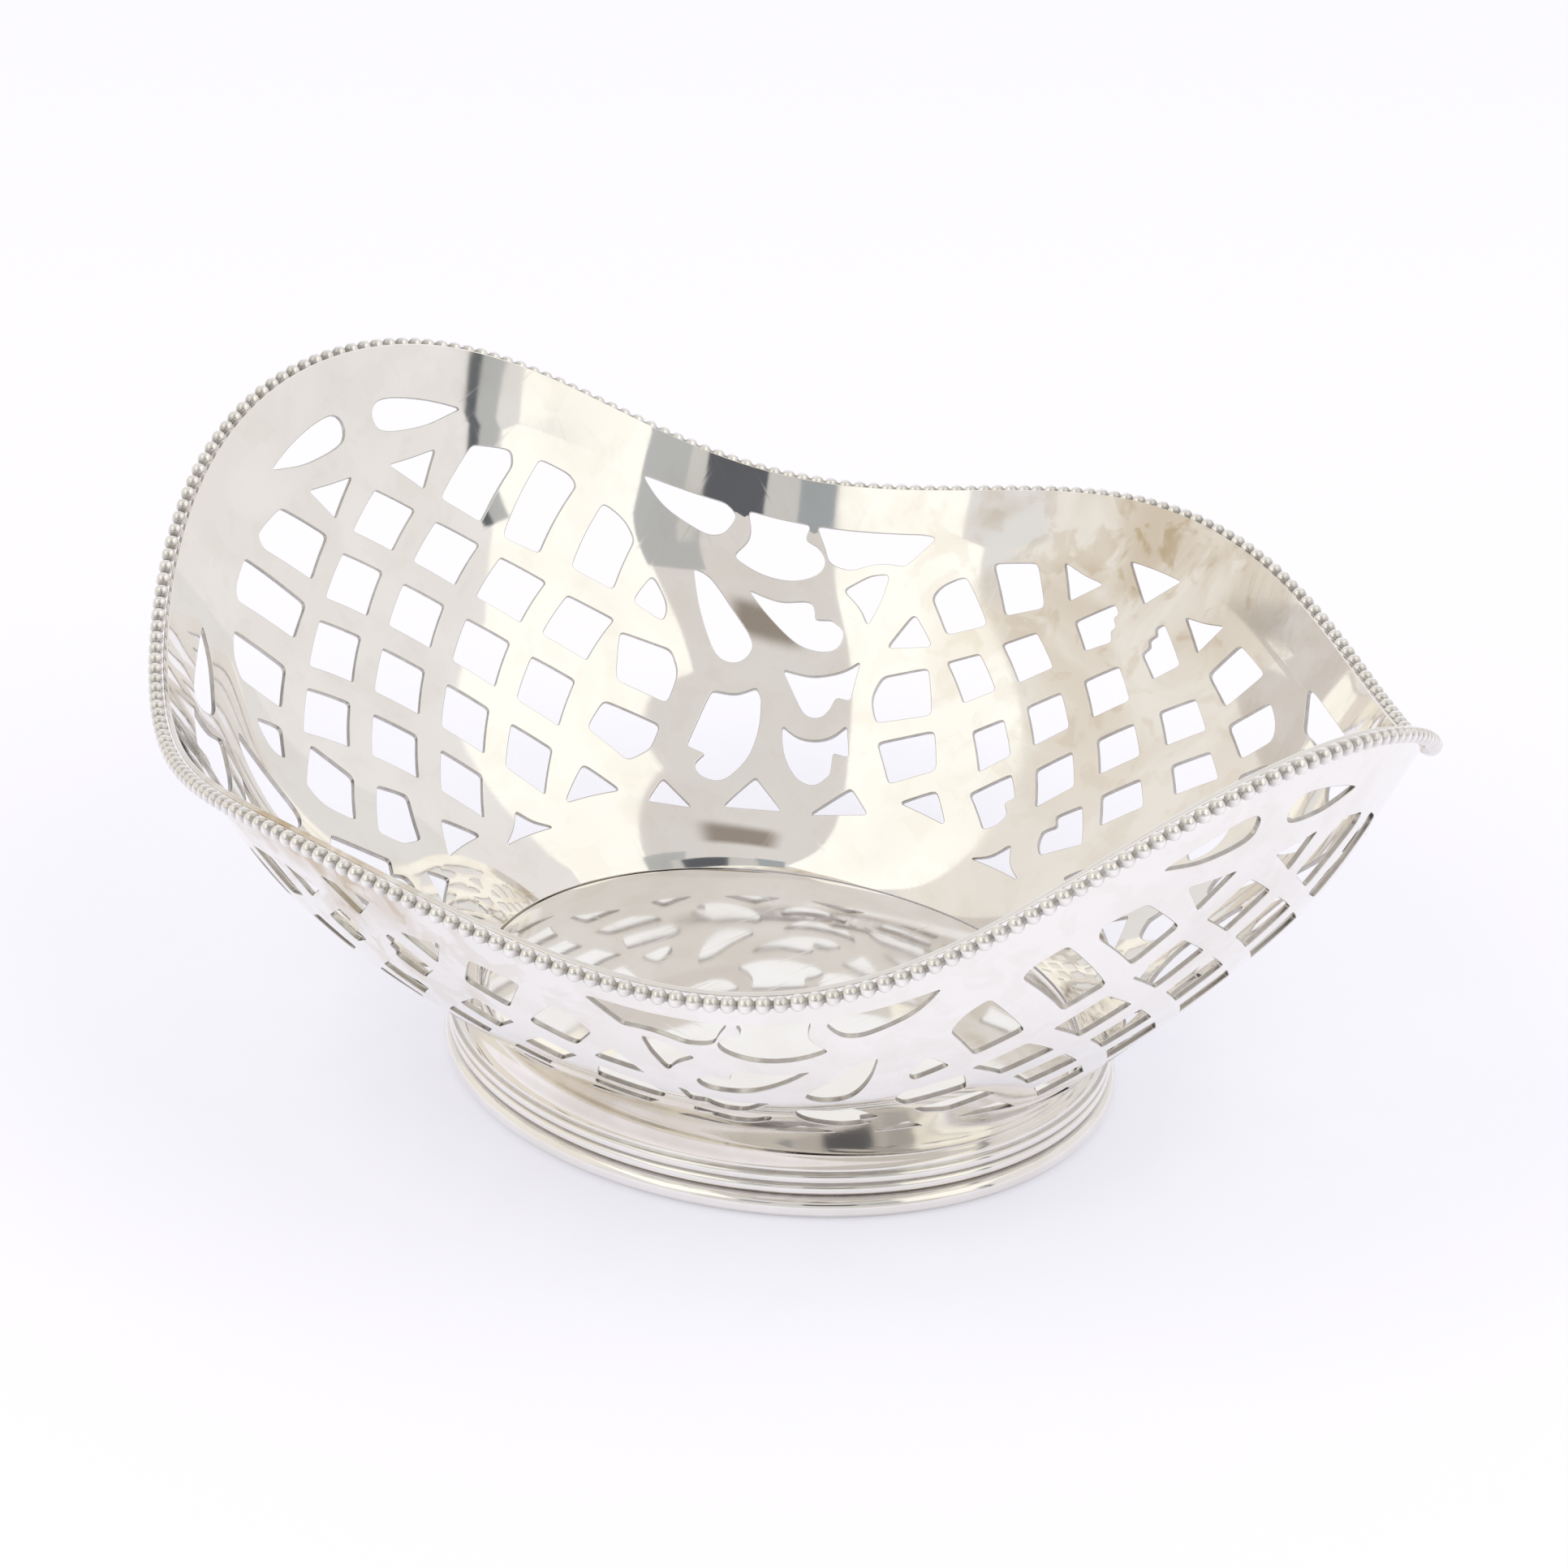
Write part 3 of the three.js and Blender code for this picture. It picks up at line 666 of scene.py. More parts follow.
def build_bowl(wall):
    """The pierced sheet: both faces and the sawn edges, with the normals of the true surface, leaning up
    along the plain band
    """
    points, normals, soil_and_shade, faces = [], [], [], []
    borders, inner_index, outer_index = [], [], []
    start = 0
    lines = bowl_lines(wall)
    # Soil and painted shade darken the sawn edges of the openings. The foot is soldered and the rim is
    # rubbed clean, so neither shows along the last two lines
    unmarked_from = len(lines) - 2
    for index, line in enumerate(lines):
        count = len(line)
        run = unit(np.roll(line, -1, 0) - np.roll(line, 1, 0))
        into_metal = np.stack([run[:, 1], -run[:, 0]], -1) * (EDGE_ROUNDING / MM)
        rings = cut_edge(wall, line, into_metal)
        for spots, directions, facing_away in rings:
            points.append(spots)
            normals.append(directions)
            soil_and_shade.append(np.full(count, facing_away if index < unmarked_from else 0.0))
        for ring in range(len(rings) - 1):
            upper = start + ring * count
            for i in range(count):
                j = (i + 1) % count
                faces.append((upper + i, upper + j, upper + count + j, upper + count + i))
        borders.append(line + into_metal)
        inner_index.append(start + np.arange(count))
        outer_index.append(start + (len(rings) - 1) * count + np.arange(count))
        start += len(rings) * count
    border = np.concatenate(borders)
    flat = np.concatenate([border, sheet_net(wall, border)])
    triangles = sheet_triangles(flat, borders)
    used = np.unique(triangles[triangles >= len(border)])
    t, h = wall.roll_up(flat[used])
    shine = wall.shine(t, h)
    points += [wall.inside(t, h), wall.at(t, h, np.full(len(used), wall.sizes.sheet))]
    normals += [-shine, shine]
    soil_and_shade += [np.zeros(len(used)), np.zeros(len(used))]
    inner_of = np.zeros(len(flat), int)
    outer_of = np.zeros(len(flat), int)
    inner_of[: len(border)] = np.concatenate(inner_index)
    outer_of[: len(border)] = np.concatenate(outer_index)
    inner_of[used] = start + np.arange(len(used))
    outer_of[used] = inner_of[used] + len(used)
    for triangle in triangles:
        (ax, ay), (bx, by), (cx, cy) = flat[triangle]
        if (bx - ax) * (cy - ay) < (by - ay) * (cx - ax):
            triangle = triangle[::-1]
        faces.append(tuple(inner_of[triangle].tolist()))
        faces.append(tuple(outer_of[triangle[::-1]].tolist()))
    return np.concatenate(points), faces, np.concatenate(normals), np.concatenate(soil_and_shade)


def build_beads(wall):
    """One ring of beads joined by short necks, evenly spaced along the rim"""
    sizes = wall.sizes
    chance = random.Random(7)
    radius = sizes.bead_diameter / 2
    neck = sizes.bead_neck / 2
    depth = sizes.sheet + radius + BEAD_GAP

    def centre(t):
        return wall.at(t, np.ones_like(t), np.full_like(t, depth))

    fine = np.linspace(0, TURN, BEAD_LINE_STEPS + 1)
    reach = np.concatenate([[0], np.linalg.norm(np.diff(centre(fine), axis=0), axis=1).cumsum()])
    pitch = reach[-1] / sizes.bead_count
    steps = np.array([-0.5, -0.42, -0.34, -0.24, -0.12, 0, 0.12, 0.24, 0.34, 0.42])
    spots, radii, soil_and_shade = [], [], []
    for bead in range(sizes.bead_count):
        grown = radius * chance.uniform(*BEAD_GROWTH)
        shift = chance.uniform(-BEAD_SHIFT, BEAD_SHIFT)
        for step in steps:
            across = step * pitch
            ball = max(0, grown**2 - across**2) ** 0.5
            spots.append((bead + 0.5 + step + shift * (step > -0.5)) * pitch)
            radii.append(max(neck, ball))
            # The thinner the wire, the more soil and painted shade: the necks between beads are darkened
            soil_and_shade.append(1 - (max(neck, ball) - neck) / (radius - neck))
    t = np.interp(spots, reach, fine)
    middle = centre(t)
    out = wall.outward(t, np.ones_like(t))
    ahead = unit(centre(t + BEAD_PROBE) - centre(t - BEAD_PROBE))
    out = unit(out - ahead * (out * ahead).sum(1, keepdims=True))
    up = np.cross(out, ahead)
    side = turns(BEAD_SIDES)[:, None]
    spokes = out[:, None] * np.cos(side) - up[:, None] * np.sin(side)
    rings = middle[:, None] + spokes * np.array(radii)[:, None, None]
    points, faces = loft(rings)
    return points, faces, np.repeat(soil_and_shade, BEAD_SIDES)


def oval(length, width, t, out, z):
    """Points beside an oval, at a distance out from its line and square to it"""
    square = unit(np.stack([np.cos(t) / length, np.sin(t) / width], -1))
    line = np.stack([length / 2 * np.cos(t), width / 2 * np.sin(t)], -1)
    flat = line + square * np.asarray(out)[..., None]
    return np.concatenate([flat, np.broadcast_to(np.asarray(z)[..., None], flat[..., :1].shape)], -1)


def arc(centre, radius, start, end, count):
    """Points of a round moulding's section, from one angle in degrees to another"""
    angles = np.radians(np.linspace(start, end, count))
    return [(centre[0] + radius * math.cos(a), centre[1] + radius * math.sin(a)) for a in angles]


def foot_ring(sizes, section):
    """Sweeps a closed section, a function of the angle that gives points (out, z), round the foot"""
    rings = []
    for t in turns(FOOT_STEPS):
        out, z = np.array(section(t)).T
        rings.append(oval(sizes.foot_length, sizes.foot_width, np.full(len(out), t), out, z))
    return loft(np.array(rings))


def build_base_wire(sizes):
    """The wire that the basket stands on: round outside, flat inside, with eased corners"""
    radius = sizes.base_wire_height / 2
    inner = -sizes.foot_depth
    high = sizes.base_wire_height
    section = [
        (inner + BASE_WIRE_EASE, 0),
        *arc((-radius, radius), radius, -90, 90, 17),
        (inner + BASE_WIRE_EASE, high),
        (inner, high - BASE_WIRE_EASE),
        (inner, BASE_WIRE_EASE),
    ]
    return foot_ring(sizes, lambda t: section)


def foot_grooves(sizes):
    """Where the foot is darkened, as heights and reaches: painted shade under it, and soil with painted
    shade beside each reed
    """
    seam = sizes.base_wire_height + SEAM
    reeds = seam + FILLET_HEIGHT
    return (
        (0.0, 0.9 * MM),
        (seam, 0.34 * MM),
        (reeds + REED_HEIGHT, 0.24 * MM),
        (reeds + 2 * REED_HEIGHT, 0.28 * MM),
    )


def build_collar(wall):
    """The moulded strip of the foot: two round reeds, a plain fillet, and a slope up to the bowl"""
    sizes = wall.sizes
    bottom = sizes.base_wire_height + SEAM
    outer = -sizes.collar_inset
    inner = -sizes.foot_depth
    under_floor = sizes.floor_height - sizes.floor_thickness - FLOOR_GAP
    sweep = math.degrees(2 * math.atan(2 * REED_DEPTH / REED_HEIGHT))
    reed_radius = REED_HEIGHT / 2 / math.sin(math.radians(sweep))

    def reed(low):
        middle = (outer + REED_DEPTH - reed_radius, low + REED_HEIGHT / 2)
        return arc(middle, reed_radius, -sweep, sweep, 9)

    base = bottom + FILLET_HEIGHT
    top = sizes.collar_height + COLLAR_SLOPE
    crest = sizes.collar_height

    # The bowl's outside at its foot, and at the height where the collar's slope meets it
    around = turns(SEAT_STEPS)
    film = np.full_like(around, sizes.sheet - COLLAR_OVERLAP)
    share = np.zeros_like(around)
    foot_line = wall.at(around, share, film)
    for _ in range(6):
        share = share + (top - wall.at(around, share, film)[:, 2]) / wall.rim_height(around)
    seat_line = wall.at(around, share, film)

    def reach(t, line):
        """How far out from the foot's oval a line lies at an angle, and how high"""
        foot = oval(sizes.foot_length, sizes.foot_width, t, 0.0, 0.0)
        away = np.linalg.norm(line[:, :2] - foot[:2], axis=1)
        return -away.min(), line[away.argmin(), 2]

    def section(t):
        """From the inner corner at the bottom, up the outside and back"""
        seat = reach(t, seat_line)[0]
        foot_of_wall, low = reach(t, foot_line)
        return [
            (inner, bottom),
            (outer - 0.1 * MM, bottom),
            (outer - 0.1 * MM, base - 0.05 * MM),
            *reed(base),
            (outer - 0.04 * MM, base + REED_HEIGHT + 0.02 * MM),
            *reed(base + REED_HEIGHT + 0.04 * MM),
            (outer - 0.06 * MM, crest - 0.25 * MM),
            (outer - 0.02 * MM, crest - 0.12 * MM),
            (outer - 0.1 * MM, crest),
            (outer * 0.6 + seat * 0.4, crest + COLLAR_SLOPE * 0.25),
            (outer * 0.25 + seat * 0.75, crest + COLLAR_SLOPE * 0.6),
            (seat, top),
            (foot_of_wall, low),
            (foot_of_wall, under_floor),
            (inner, under_floor),
        ]

    return foot_ring(sizes, section)


def build_floor(sizes):
    """The floor plate: a low dome whose edge turns down into the joint with the bowl"""
    count = FLOOR_STEPS
    t = turns(count)
    shares = 1 - (1 - np.linspace(0.05, 1, FLOOR_RINGS)) ** 1.2
    under = sizes.floor_height - sizes.floor_thickness
    rings = []

    def ring(share, out, z):
        line = oval(sizes.floor_length, sizes.floor_width, t, np.full(count, out), np.full(count, z))
        line[:, :2] *= share
        rings.append(line)

    flat_out = -FLOOR_EDGE_GAP - FLOOR_TURN_DOWN
    for share in shares:
        ring(share, flat_out, sizes.floor_height + sizes.floor_dome * (1 - share**2))
    for degrees in (60, 30, 0):
        angle = math.radians(degrees)
        out = -FLOOR_EDGE_GAP - FLOOR_TURN_DOWN * (1 - math.cos(angle))
        ring(1, out, sizes.floor_height - FLOOR_TURN_DOWN * (1 - math.sin(angle)))
    for share in shares[::-1]:
        ring(share, -FLOOR_EDGE_GAP, under + sizes.floor_dome * (1 - share**2))
    points, faces = loft(np.array(rings), closed=False)
    top = len(points)
    middle = [(0, 0, sizes.floor_height + sizes.floor_dome), (0, 0, under + sizes.floor_dome)]
    last = (len(rings) - 1) * count
    for i in range(count):
        j = (i + 1) % count
        faces.append((top, i, j))
        faces.append((top + 1, last + j, last + i))
    return np.concatenate([points, middle]), faces


# Finishes


class Number:
    """A number in a material, so that shader maths reads as plain arithmetic"""

    def __init__(self, finish, socket):
        self.finish = finish
        self.socket = socket

    def math(self, operation, first, second=0.0):
        node = self.finish.node("ShaderNodeMath", {0: first, 1: second}, {"operation": operation})
        return Number(self.finish, node.outputs[0])

    def __add__(self, other):
        return self.math("ADD", self, other)

    def __radd__(self, other):
        return self.math("ADD", other, self)

    def __sub__(self, other):
        return self.math("SUBTRACT", self, other)

    def __rsub__(self, other):
        return self.math("SUBTRACT", other, self)

    def __mul__(self, other):
        return self.math("MULTIPLY", self, other)

    def __rmul__(self, other):
        return self.math("MULTIPLY", other, self)

    def __truediv__(self, other):
        return self.math("DIVIDE", self, other)

    def size(self):
        return self.math("ABSOLUTE", self)

    def clamp(self):
        return self.math("MINIMUM", self.math("MAXIMUM", self, 0.0), 1.0)


class Finish:
    """The nodes of one material or world"""

    def __init__(self, tree):
        self.tree = tree
        tree.nodes.clear()

    def node(self, kind, inputs=None, settings=None):
        """Adds a node. Its inputs are given by name or place, as values, sockets or Numbers."""
        node = self.tree.nodes.new(kind)
        for name, value in (settings or {}).items():
            setattr(node, name, value)
        for name, value in (inputs or {}).items():
            socket = node.inputs[name]
            if isinstance(value, Number):
                value = value.socket
            if isinstance(value, bpy.types.NodeSocket):
                self.tree.links.new(value, socket)
            else:
                socket.default_value = value
        return node

    def number(self, socket):
        return Number(self, socket)

    def noise(self, place, scale, detail=2.0, distortion=0.0):
        inputs = {"Vector": place, "Scale": scale, "Detail": detail, "Distortion": distortion}
        return self.number(self.node("ShaderNodeTexNoise", inputs).outputs[0])

    def between(self, value, low, high):
        """A smooth step from 0 at the low value to 1 at the high one"""
        inputs = {"Value": value, "From Min": low, "From Max": high}
        settings = {"interpolation_type": "SMOOTHSTEP"}
        return self.number(self.node("ShaderNodeMapRange", inputs, settings).outputs[0])

    def mix(self, share, first, second):
        """A colour between two colours"""
        inputs = {0: share, 6: first, 7: second}
        return self.node("ShaderNodeMix", inputs, {"data_type": "RGBA"}).outputs[2]

    def stretched(self, place, scale, turn):
        """Coordinates stretched and turned, for fine lines that run one way"""
        inputs = {"Vector": place, "Scale": scale, "Rotation": turn}
        return self.node("ShaderNodeMapping", inputs).outputs[0]

    def mark(self, name):
        """A share that the mesh holds at each of its points"""
        node = self.node("ShaderNodeAttribute", settings={"attribute_name": name})
        return self.number(node.outputs["Fac"])

    def surface(self, inputs):
        """Ends a material in one shader"""
        shader = self.node("ShaderNodeBsdfPrincipled", inputs)
        self.node("ShaderNodeOutputMaterial", {"Surface": shader.outputs[0]})


def colour(value):
    """A colour without transparency"""
    return (*value, 1.0)


# How deep the silver's unevenness looks
BUMP_DEPTH = 0.06 * MM


def silver(name, shades, polish=0.03, wave=1.0, soil_and_shade=0.6, tarnish=0.0, marks=False, grooves=()):
    """Polished silver: softly uneven, with rubbing lines, thin tarnish in clouds, and soil with painted
    shade at its edges

    Soil with painted shade also darkens the grooves, which are given as pairs of a height and a reach.
    """
    material = bpy.data.materials.new(name)
    material.use_nodes = True
    f = Finish(material.node_tree)
    place = f.node("ShaderNodeTexCoord").outputs["Object"]
    cloud = f.noise(place, 45.0, 3.0, 0.4)
    grain = f.noise(place, 900.0, 3.0)
    rub_a = f.noise(f.stretched(place, (2600.0, 90.0, 90.0), (0.2, 0.5, 0.7)), 1.0, 1.0)
    rub_b = f.noise(f.stretched(place, (70.0, 2200.0, 110.0), (0.6, 0.1, 0.4)), 1.0, 1.0)
    rubbing = f.between(rub_a, 0.62, 0.76) + f.between(rub_b, 0.64, 0.78)
    dull = f.between(cloud, 0.46, 0.68)
    thin = f.between(f.noise(place, 70.0, 4.0, 0.8), 0.42, 0.62)
    tint = f.mix(dull * 0.35, colour(shades.silver), colour([c * 0.9 for c in shades.silver]))
    browned = thin * tarnish
    if marks:
        flecks = f.between(f.noise(place, 260.0, 5.0, 0.5), 0.5, 0.62)
        browned = (thin * 0.7 + flecks * 0.5) * (f.mark("tarnish") * 0.8 + tarnish)
    tint = f.mix(browned.clamp(), tint, colour(shades.tarnish))
    rough = polish + 0.03 * dull + 0.02 * grain + 0.05 * rubbing + 0.15 * browned
    # Soil and painted shade along the sawn edges and between the beads
    if marks:
        soil_and_shade_share = (f.mark("edge") * soil_and_shade * (0.55 + 0.6 * grain)).clamp()
        tint = f.mix(soil_and_shade_share, tint, colour(shades.soil_and_shade))
        rough = rough + 0.25 * soil_and_shade_share
    # Painted shade under the foot, and soil with painted shade in its grooves
    if grooves:
        level = f.number(f.node("ShaderNodeSeparateXYZ", {"Vector": place}).outputs["Z"])
        soil_and_shade_share = sum(
            1 - f.between((level - height).size(), 0.25 * reach, reach) for height, reach in grooves
        )
        soil_and_shade_share = (soil_and_shade_share * soil_and_shade * (0.6 + 0.4 * grain)).clamp()
        tint = f.mix(soil_and_shade_share, tint, colour(shades.soil_and_shade))
        rough = rough + 0.15 * soil_and_shade_share
    swell = f.noise(place, 55.0, 1.0)
    ripple = f.noise(place, 190.0, 1.0)
    height = swell * wave + ripple * (0.12 * wave) + 0.004 * grain - 0.006 * rubbing
    bump = f.node("ShaderNodeBump", {"Strength": 1.0, "Distance": BUMP_DEPTH, "Height": height})
    rough = rough.clamp()
    f.surface({"Base Color": tint, "Metallic": 1.0, "Roughness": rough, "Normal": bump.outputs[0]})
    return material


def studio_floor(shades):
    """A matt pale floor that keeps the basket's shadow"""
    material = bpy.data.materials.new("studio_floor")
    material.use_nodes = True
    f = Finish(material.node_tree)
    place = f.node("ShaderNodeTexCoord").outputs["Object"]
    cloud = f.noise(place, 6.0, 2.0)
    tint = f.mix(cloud * 0.25, colour(shades.floor), colour([c * 0.97 for c in shades.floor]))
    rays = f.node("ShaderNodeLightPath")
    seen = f.number(rays.outputs["Is Camera Ray"]) + f.number(rays.outputs["Is Glossy Ray"])
    seen = (seen + f.number(rays.outputs["Is Transmission Ray"])).clamp()
    black = colour((0, 0, 0))
    f.surface(
        {
            "Base Color": f.mix(FLOOR_DIMMING, tint, black),
            "Roughness": 0.9,
            "Specular IOR Level": 0.1,
            "Emission Color": f.mix(seen, black, colour(shades.floor)),
            "Emission Strength": FLOOR_GLOW,
        }
    )
    return material


# Operators


class BASKET_OT_pierced_bowl(bpy.types.Operator):
    """Build the pierced bowl"""

    bl_idname = "basket.pierced_bowl"
    bl_label = "Pierced bowl"

    def execute(self, context):
        wall = Wall(context.scene.basket_sizes)
        points, faces, normals, edge = build_bowl(wall)
        turn = np.arctan2(points[:, 1], points[:, 0])
        height = points[:, 2] / wall.rim_height(turn)
        side = np.clip(1 - np.abs(np.abs(np.degrees(turn)) - STAIN_MIDDLE) / STAIN_HALF_WIDTH, 0, 1)
        stain = side * np.clip((height - STAIN_FROM) / STAIN_RISE, 0, 1)
        material = silver("silver_bowl", context.scene.basket_finish, soil_and_shade=0.6, tarnish=0.12, marks=True)
        marks = {"edge": edge, "tarnish": stain}
        add_piece("bowl_pierced_sheet", "pierced_bowl", points, faces, material, normals, marks)
        return {"FINISHED"}


class BASKET_OT_bead_wire(bpy.types.Operator):
    """Build the beaded wire round the rim"""

    bl_idname = "basket.bead_wire"
    bl_label = "Bead wire"

    def execute(self, context):
        wall = Wall(context.scene.basket_sizes)
        points, faces, hollow = build_beads(wall)
        shades = context.scene.basket_finish
        material = silver(
            "silver_beads", shades, polish=0.09, wave=0.2, soil_and_shade=0.8, tarnish=0.06, marks=True
        )
        marks = {"edge": hollow, "tarnish": np.zeros(len(points))}
        add_piece("rim_beads", "bead_wire", points, faces, material, marks=marks)
        return {"FINISHED"}


class BASKET_OT_floor_plate(bpy.types.Operator):
    """Build the domed floor plate"""

    bl_idname = "basket.floor_plate"
    bl_label = "Floor plate"

    def execute(self, context):
        points, faces = build_floor(context.scene.basket_sizes)
        material = silver("silver_floor", context.scene.basket_finish, polish=0.03, wave=1.0, tarnish=0.1)
        add_piece("floor_dome", "floor_plate", points, faces, material)
        return {"FINISHED"}


class BASKET_OT_foot(bpy.types.Operator):
    """Build the reeded collar and the base wire"""

    bl_idname = "basket.foot"
    bl_label = "Foot"

    def execute(self, context):
        sizes = context.scene.basket_sizes
        shades = context.scene.basket_finish
        grooves = foot_grooves(sizes)
        material = silver(
            "silver_foot", shades, polish=0.05, wave=0.5, soil_and_shade=0.5, tarnish=0.1, grooves=grooves
        )
        add_piece("foot_collar", "reeded_collar", *build_collar(Wall(sizes)), material)
        add_piece("foot_base_wire", "base_wire", *build_base_wire(sizes), material)
        return {"FINISHED"}


# What the silver mirrors, as cards round the studio: azimuth and elevation of the middle, half width and
# half height and roll, all in degrees, then softness of the edge, and tone
STUDIO_CARDS = (
    (-43, 10, 40, 22, 0, 0.04, (0.72, 0.70, 0.68)),
    (137, 22, 24, 26, 0, 0.04, (0.97, 0.97, 0.98)),
    (50, 22, 32, 40, 0, 0.01, (0.87, 0.85, 0.84)),
    (-146, 26, 30, 30, 0, 0.04, (0.88, 0.84, 0.78)),
    (-46, 62, 34, 27, 0, 0.04, (0.75, 0.72, 0.70)),
    (7, 42, 16.2, 26, -25, 0.005, (1.12, 1.11, 1.04)),
    (50, 56, 18, 14, 0, 0.01, (1.12, 1.11, 1.04)),
    (-105.3, 44.8, 13.1, 27.5, 45, 0.005, (1.12, 1.11, 1.04)),
    (16, 12, 2.2, 12, 0, 0.005, (0.50, 0.51, 0.51)),
    (18, 12, 0.9, 12, 0, 0.005, (0.12, 0.13, 0.14)),
    (-25, 30, 8, 12, 0, 0.005, (0.50, 0.51, 0.51)),
    (-31, 28, 2.6, 7, 0, 0.005, (0.64, 0.63, 0.61)),
    (-58.5, 28, 6.5, 6.5, 0, 0.005, (0.62, 0.61, 0.60)),
    (-67.5, 28, 4.5, 7, 0, 0.005, (0.38, 0.41, 0.43)),
    (-42.5, 28, 8.2, 6.5, 0, 0.005, (0.12, 0.125, 0.14)),
    (-57, 57, 8.5, 6.5, 0, 0.05, (0.32, 0.28, 0.24)),
)
STUDIO_TONE = (0.80, 0.785, 0.77, 1.0)
# The two lamps: azimuth and elevation, width and height in degrees, and brightness
LAMPS = (
    ("lamp_left", 10, 45, 34, 50, 1.2),
    ("lamp_right", -105, 48, 30, 50, 1.2),
)
LAMP_DISTANCE = 1.2
LAMP_COLOUR = (1.0, 0.985, 0.95)
# The studio floor: its half width, how dark it is under the lamps, and how it glows for the eye
FLOOR_REACH = 3.0
FLOOR_DIMMING = 0.44
FLOOR_GLOW = 0.485
# The photo's camera: its target, and where it stands from there in radians and metres
CAMERA_TARGET = (0, 0, 0.024845)
CAMERA_AZIMUTH = 0.8240
CAMERA_ELEVATION = 0.45564
CAMERA_DISTANCE = 0.56915
CAMERA_LENS = 122.57
CAMERA_SHIFT = (0.00455, 0.03975)


def direction(azimuth, elevation):
    """The unit vector that points to a place of the studio"""
    azimuth, elevation = math.radians(azimuth), math.radians(elevation)
    level = math.cos(elevation)
    return Vector((math.cos(azimuth) * level, math.sin(azimuth) * level, math.sin(elevation)))


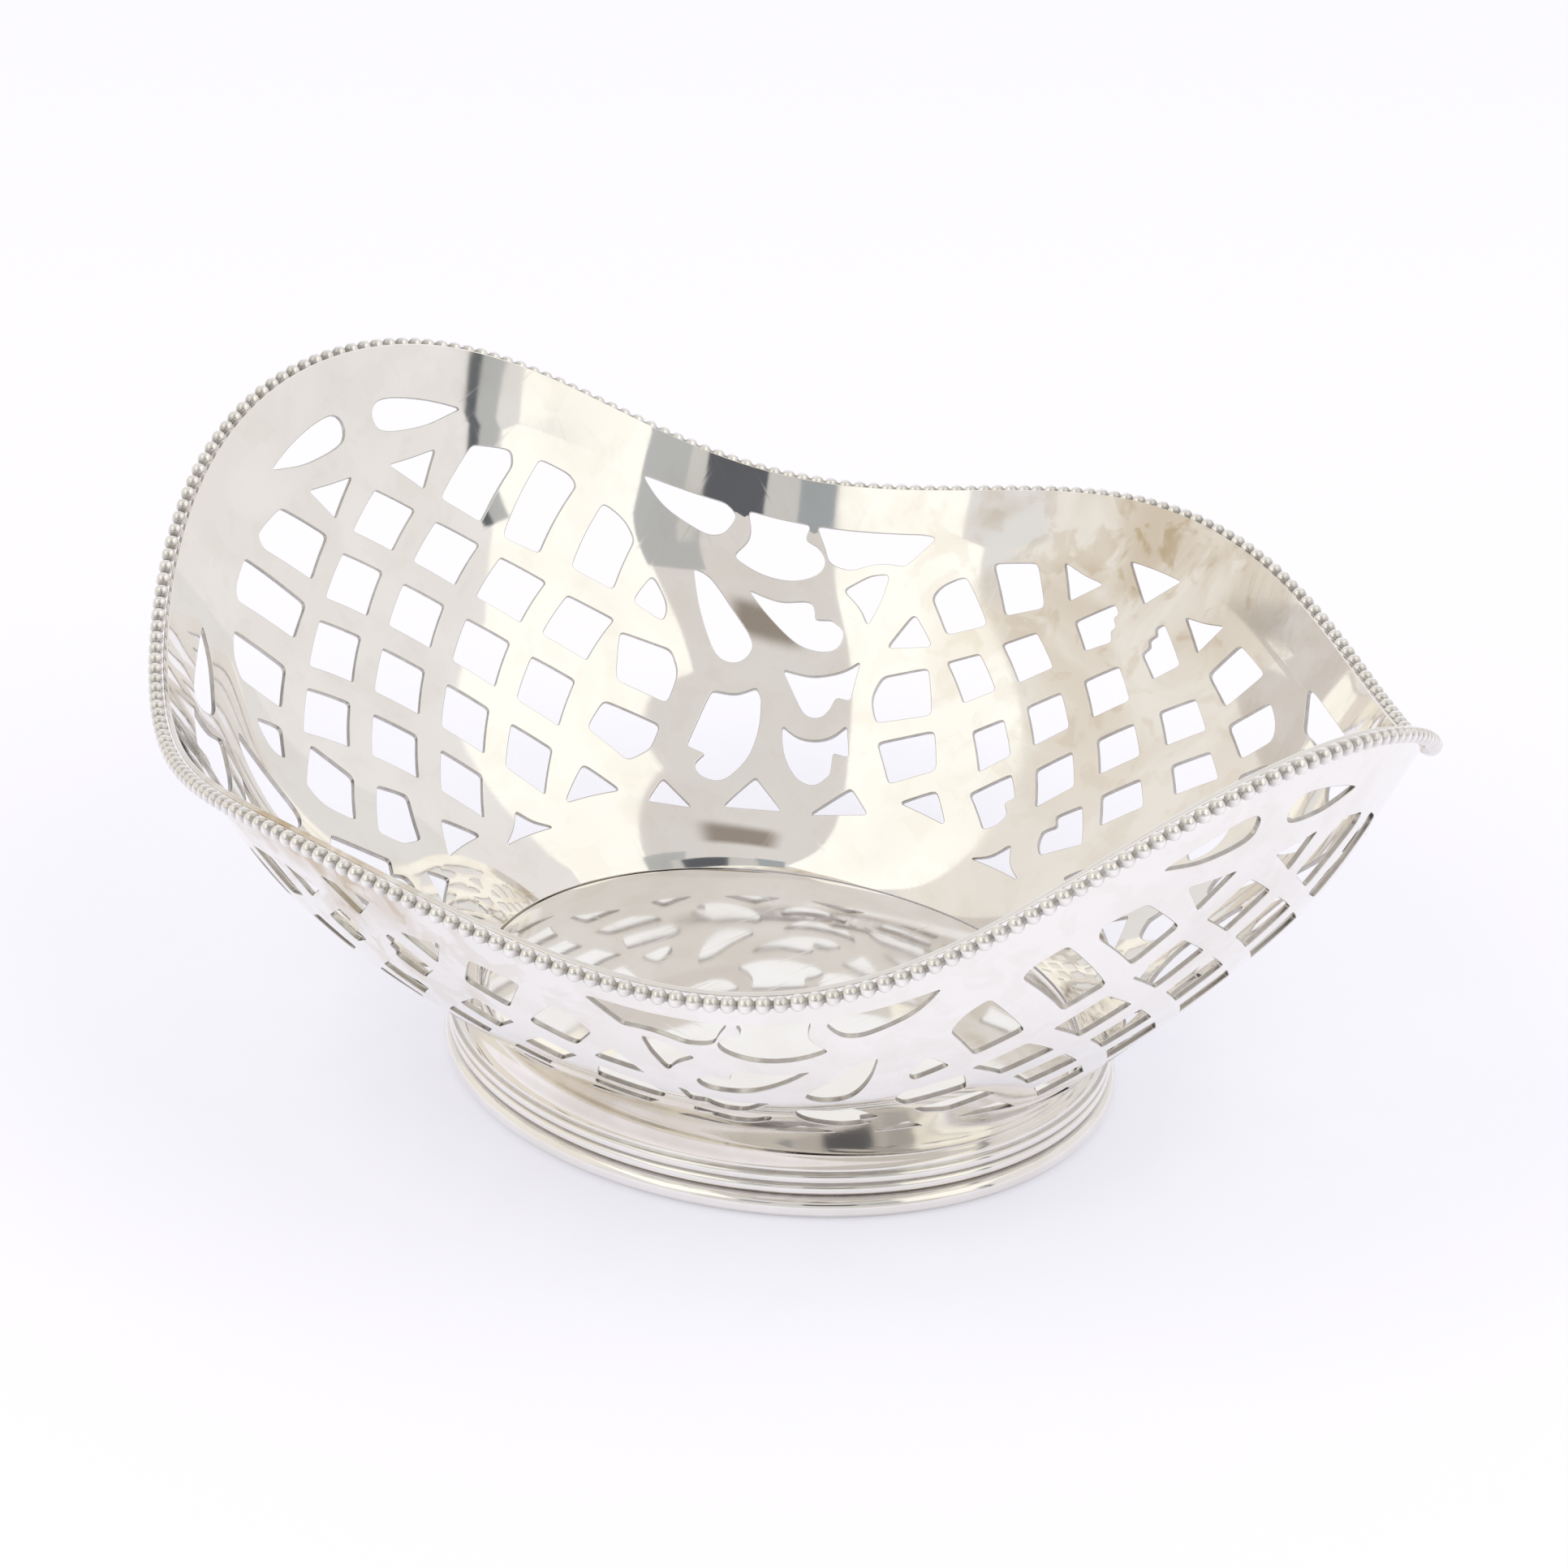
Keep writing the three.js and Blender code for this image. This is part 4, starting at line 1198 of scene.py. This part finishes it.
class BASKET_OT_stage(bpy.types.Operator):
    """Set up the floor, the lights and the camera"""

    bl_idname = "basket.stage"
    bl_label = "Stage"

    def execute(self, context):
        scene = context.scene
        shades = scene.basket_finish
        self.floor(scene, shades)
        self.world(scene)
        for lamp in LAMPS:
            self.lamp(scene, *lamp)
        self.camera(scene)
        scene.view_settings.view_transform = "Standard"
        return {"FINISHED"}

    def floor(self, scene, shades):
        mesh = bpy.data.meshes.new("studio_floor")
        square = ((-1, -1), (1, -1), (1, 1), (-1, 1))
        points = [(x * FLOOR_REACH, y * FLOOR_REACH, 0) for x, y in square]
        mesh.from_pydata(points, [], [(0, 1, 2, 3)])
        mesh.materials.append(studio_floor(shades))
        floor = bpy.data.objects.new("studio_floor", mesh)
        scene.collection.objects.link(floor)

    def world(self, scene):
        world = bpy.data.worlds.new("studio")
        scene.world = world
        world.use_nodes = True
        f = Finish(world.node_tree)
        look = f.node("ShaderNodeTexCoord").outputs["Generated"]
        tone = STUDIO_TONE
        for azimuth, elevation, half_width, half_height, roll, softness, shade in STUDIO_CARDS:
            aim = direction(azimuth, elevation)
            across = Quaternion(aim, math.radians(roll)) @ direction(azimuth + 90, 0)
            facing = self.along(f, look, aim)
            wide = self.along(f, look, across) / facing
            tall = self.along(f, look, aim.cross(across)) / facing
            reach_wide = math.tan(math.radians(half_width))
            reach_tall = math.tan(math.radians(half_height))
            inside = 1 - f.between(wide.size(), reach_wide - softness, reach_wide + softness)
            inside = inside * (1 - f.between(tall.size(), reach_tall - softness, reach_tall + softness))
            tone = f.mix(inside * f.between(facing, 0.0, 0.01), tone, colour(shade))
        sky = f.node("ShaderNodeBackground", {"Color": tone, "Strength": 1.0})
        f.node("ShaderNodeOutputWorld", {"Surface": sky.outputs[0]})

    def along(self, f, look, axis):
        node = f.node("ShaderNodeVectorMath", {0: look, 1: axis}, {"operation": "DOT_PRODUCT"})
        return f.number(node.outputs["Value"])

    def lamp(self, scene, name, azimuth, elevation, width, height, brightness):
        data = bpy.data.lights.new(name, "AREA")
        data.shape = "RECTANGLE"
        data.size = 2 * LAMP_DISTANCE * math.tan(math.radians(width / 2))
        data.size_y = 2 * LAMP_DISTANCE * math.tan(math.radians(height / 2))
        data.energy = brightness * math.pi * data.size * data.size_y
        data.color = LAMP_COLOUR
        lamp = bpy.data.objects.new(name, data)
        aim = direction(azimuth, elevation)
        lamp.location = aim * LAMP_DISTANCE
        lamp.rotation_euler = aim.to_track_quat("Z", "Y").to_euler()
        lamp.visible_glossy = False
        scene.collection.objects.link(lamp)

    def camera(self, scene):
        level = math.cos(CAMERA_ELEVATION)
        across, ahead = math.sin(CAMERA_AZIMUTH) * level, -math.cos(CAMERA_AZIMUTH) * level
        back = Vector((across, ahead, math.sin(CAMERA_ELEVATION)))
        data = bpy.data.cameras.new("camera")
        data.lens = CAMERA_LENS
        data.sensor_width = 36
        data.shift_x, data.shift_y = CAMERA_SHIFT
        data.clip_start = 0.01
        camera = bpy.data.objects.new("camera", data)
        camera.location = Vector(CAMERA_TARGET) + back * CAMERA_DISTANCE
        camera.rotation_euler = (-back).to_track_quat("-Z", "Y").to_euler()
        scene.collection.objects.link(camera)
        scene.camera = camera


class BASKET_PT_panel(bpy.types.Panel):
    """Lists what builds the basket"""

    bl_idname = "BASKET_PT_panel"
    bl_label = "Bonbon basket"
    bl_space_type = "VIEW_3D"
    bl_region_type = "UI"
    bl_category = "Basket"

    def draw(self, context):
        for group in (context.scene.basket_sizes, context.scene.basket_finish):
            for name in group.__annotations__:
                self.layout.prop(group, name)
        for operator in OPERATORS:
            self.layout.operator(operator.bl_idname)


OPERATORS = (
    BASKET_OT_pierced_bowl,
    BASKET_OT_bead_wire,
    BASKET_OT_floor_plate,
    BASKET_OT_foot,
    BASKET_OT_stage,
)
CLASSES = (BasketSizes, BasketFinish, *OPERATORS, BASKET_PT_panel)


def register():
    for item in CLASSES:
        bpy.utils.register_class(item)
    bpy.types.Scene.basket_sizes = bpy.props.PointerProperty(type=BasketSizes)
    bpy.types.Scene.basket_finish = bpy.props.PointerProperty(type=BasketFinish)


def unregister():
    del bpy.types.Scene.basket_finish
    del bpy.types.Scene.basket_sizes
    for item in reversed(CLASSES):
        bpy.utils.unregister_class(item)


def main():
    register()
    bpy.ops.basket.pierced_bowl()
    bpy.ops.basket.bead_wire()
    bpy.ops.basket.floor_plate()
    bpy.ops.basket.foot()
    bpy.ops.basket.stage()


if __name__ == "__main__":
    main()
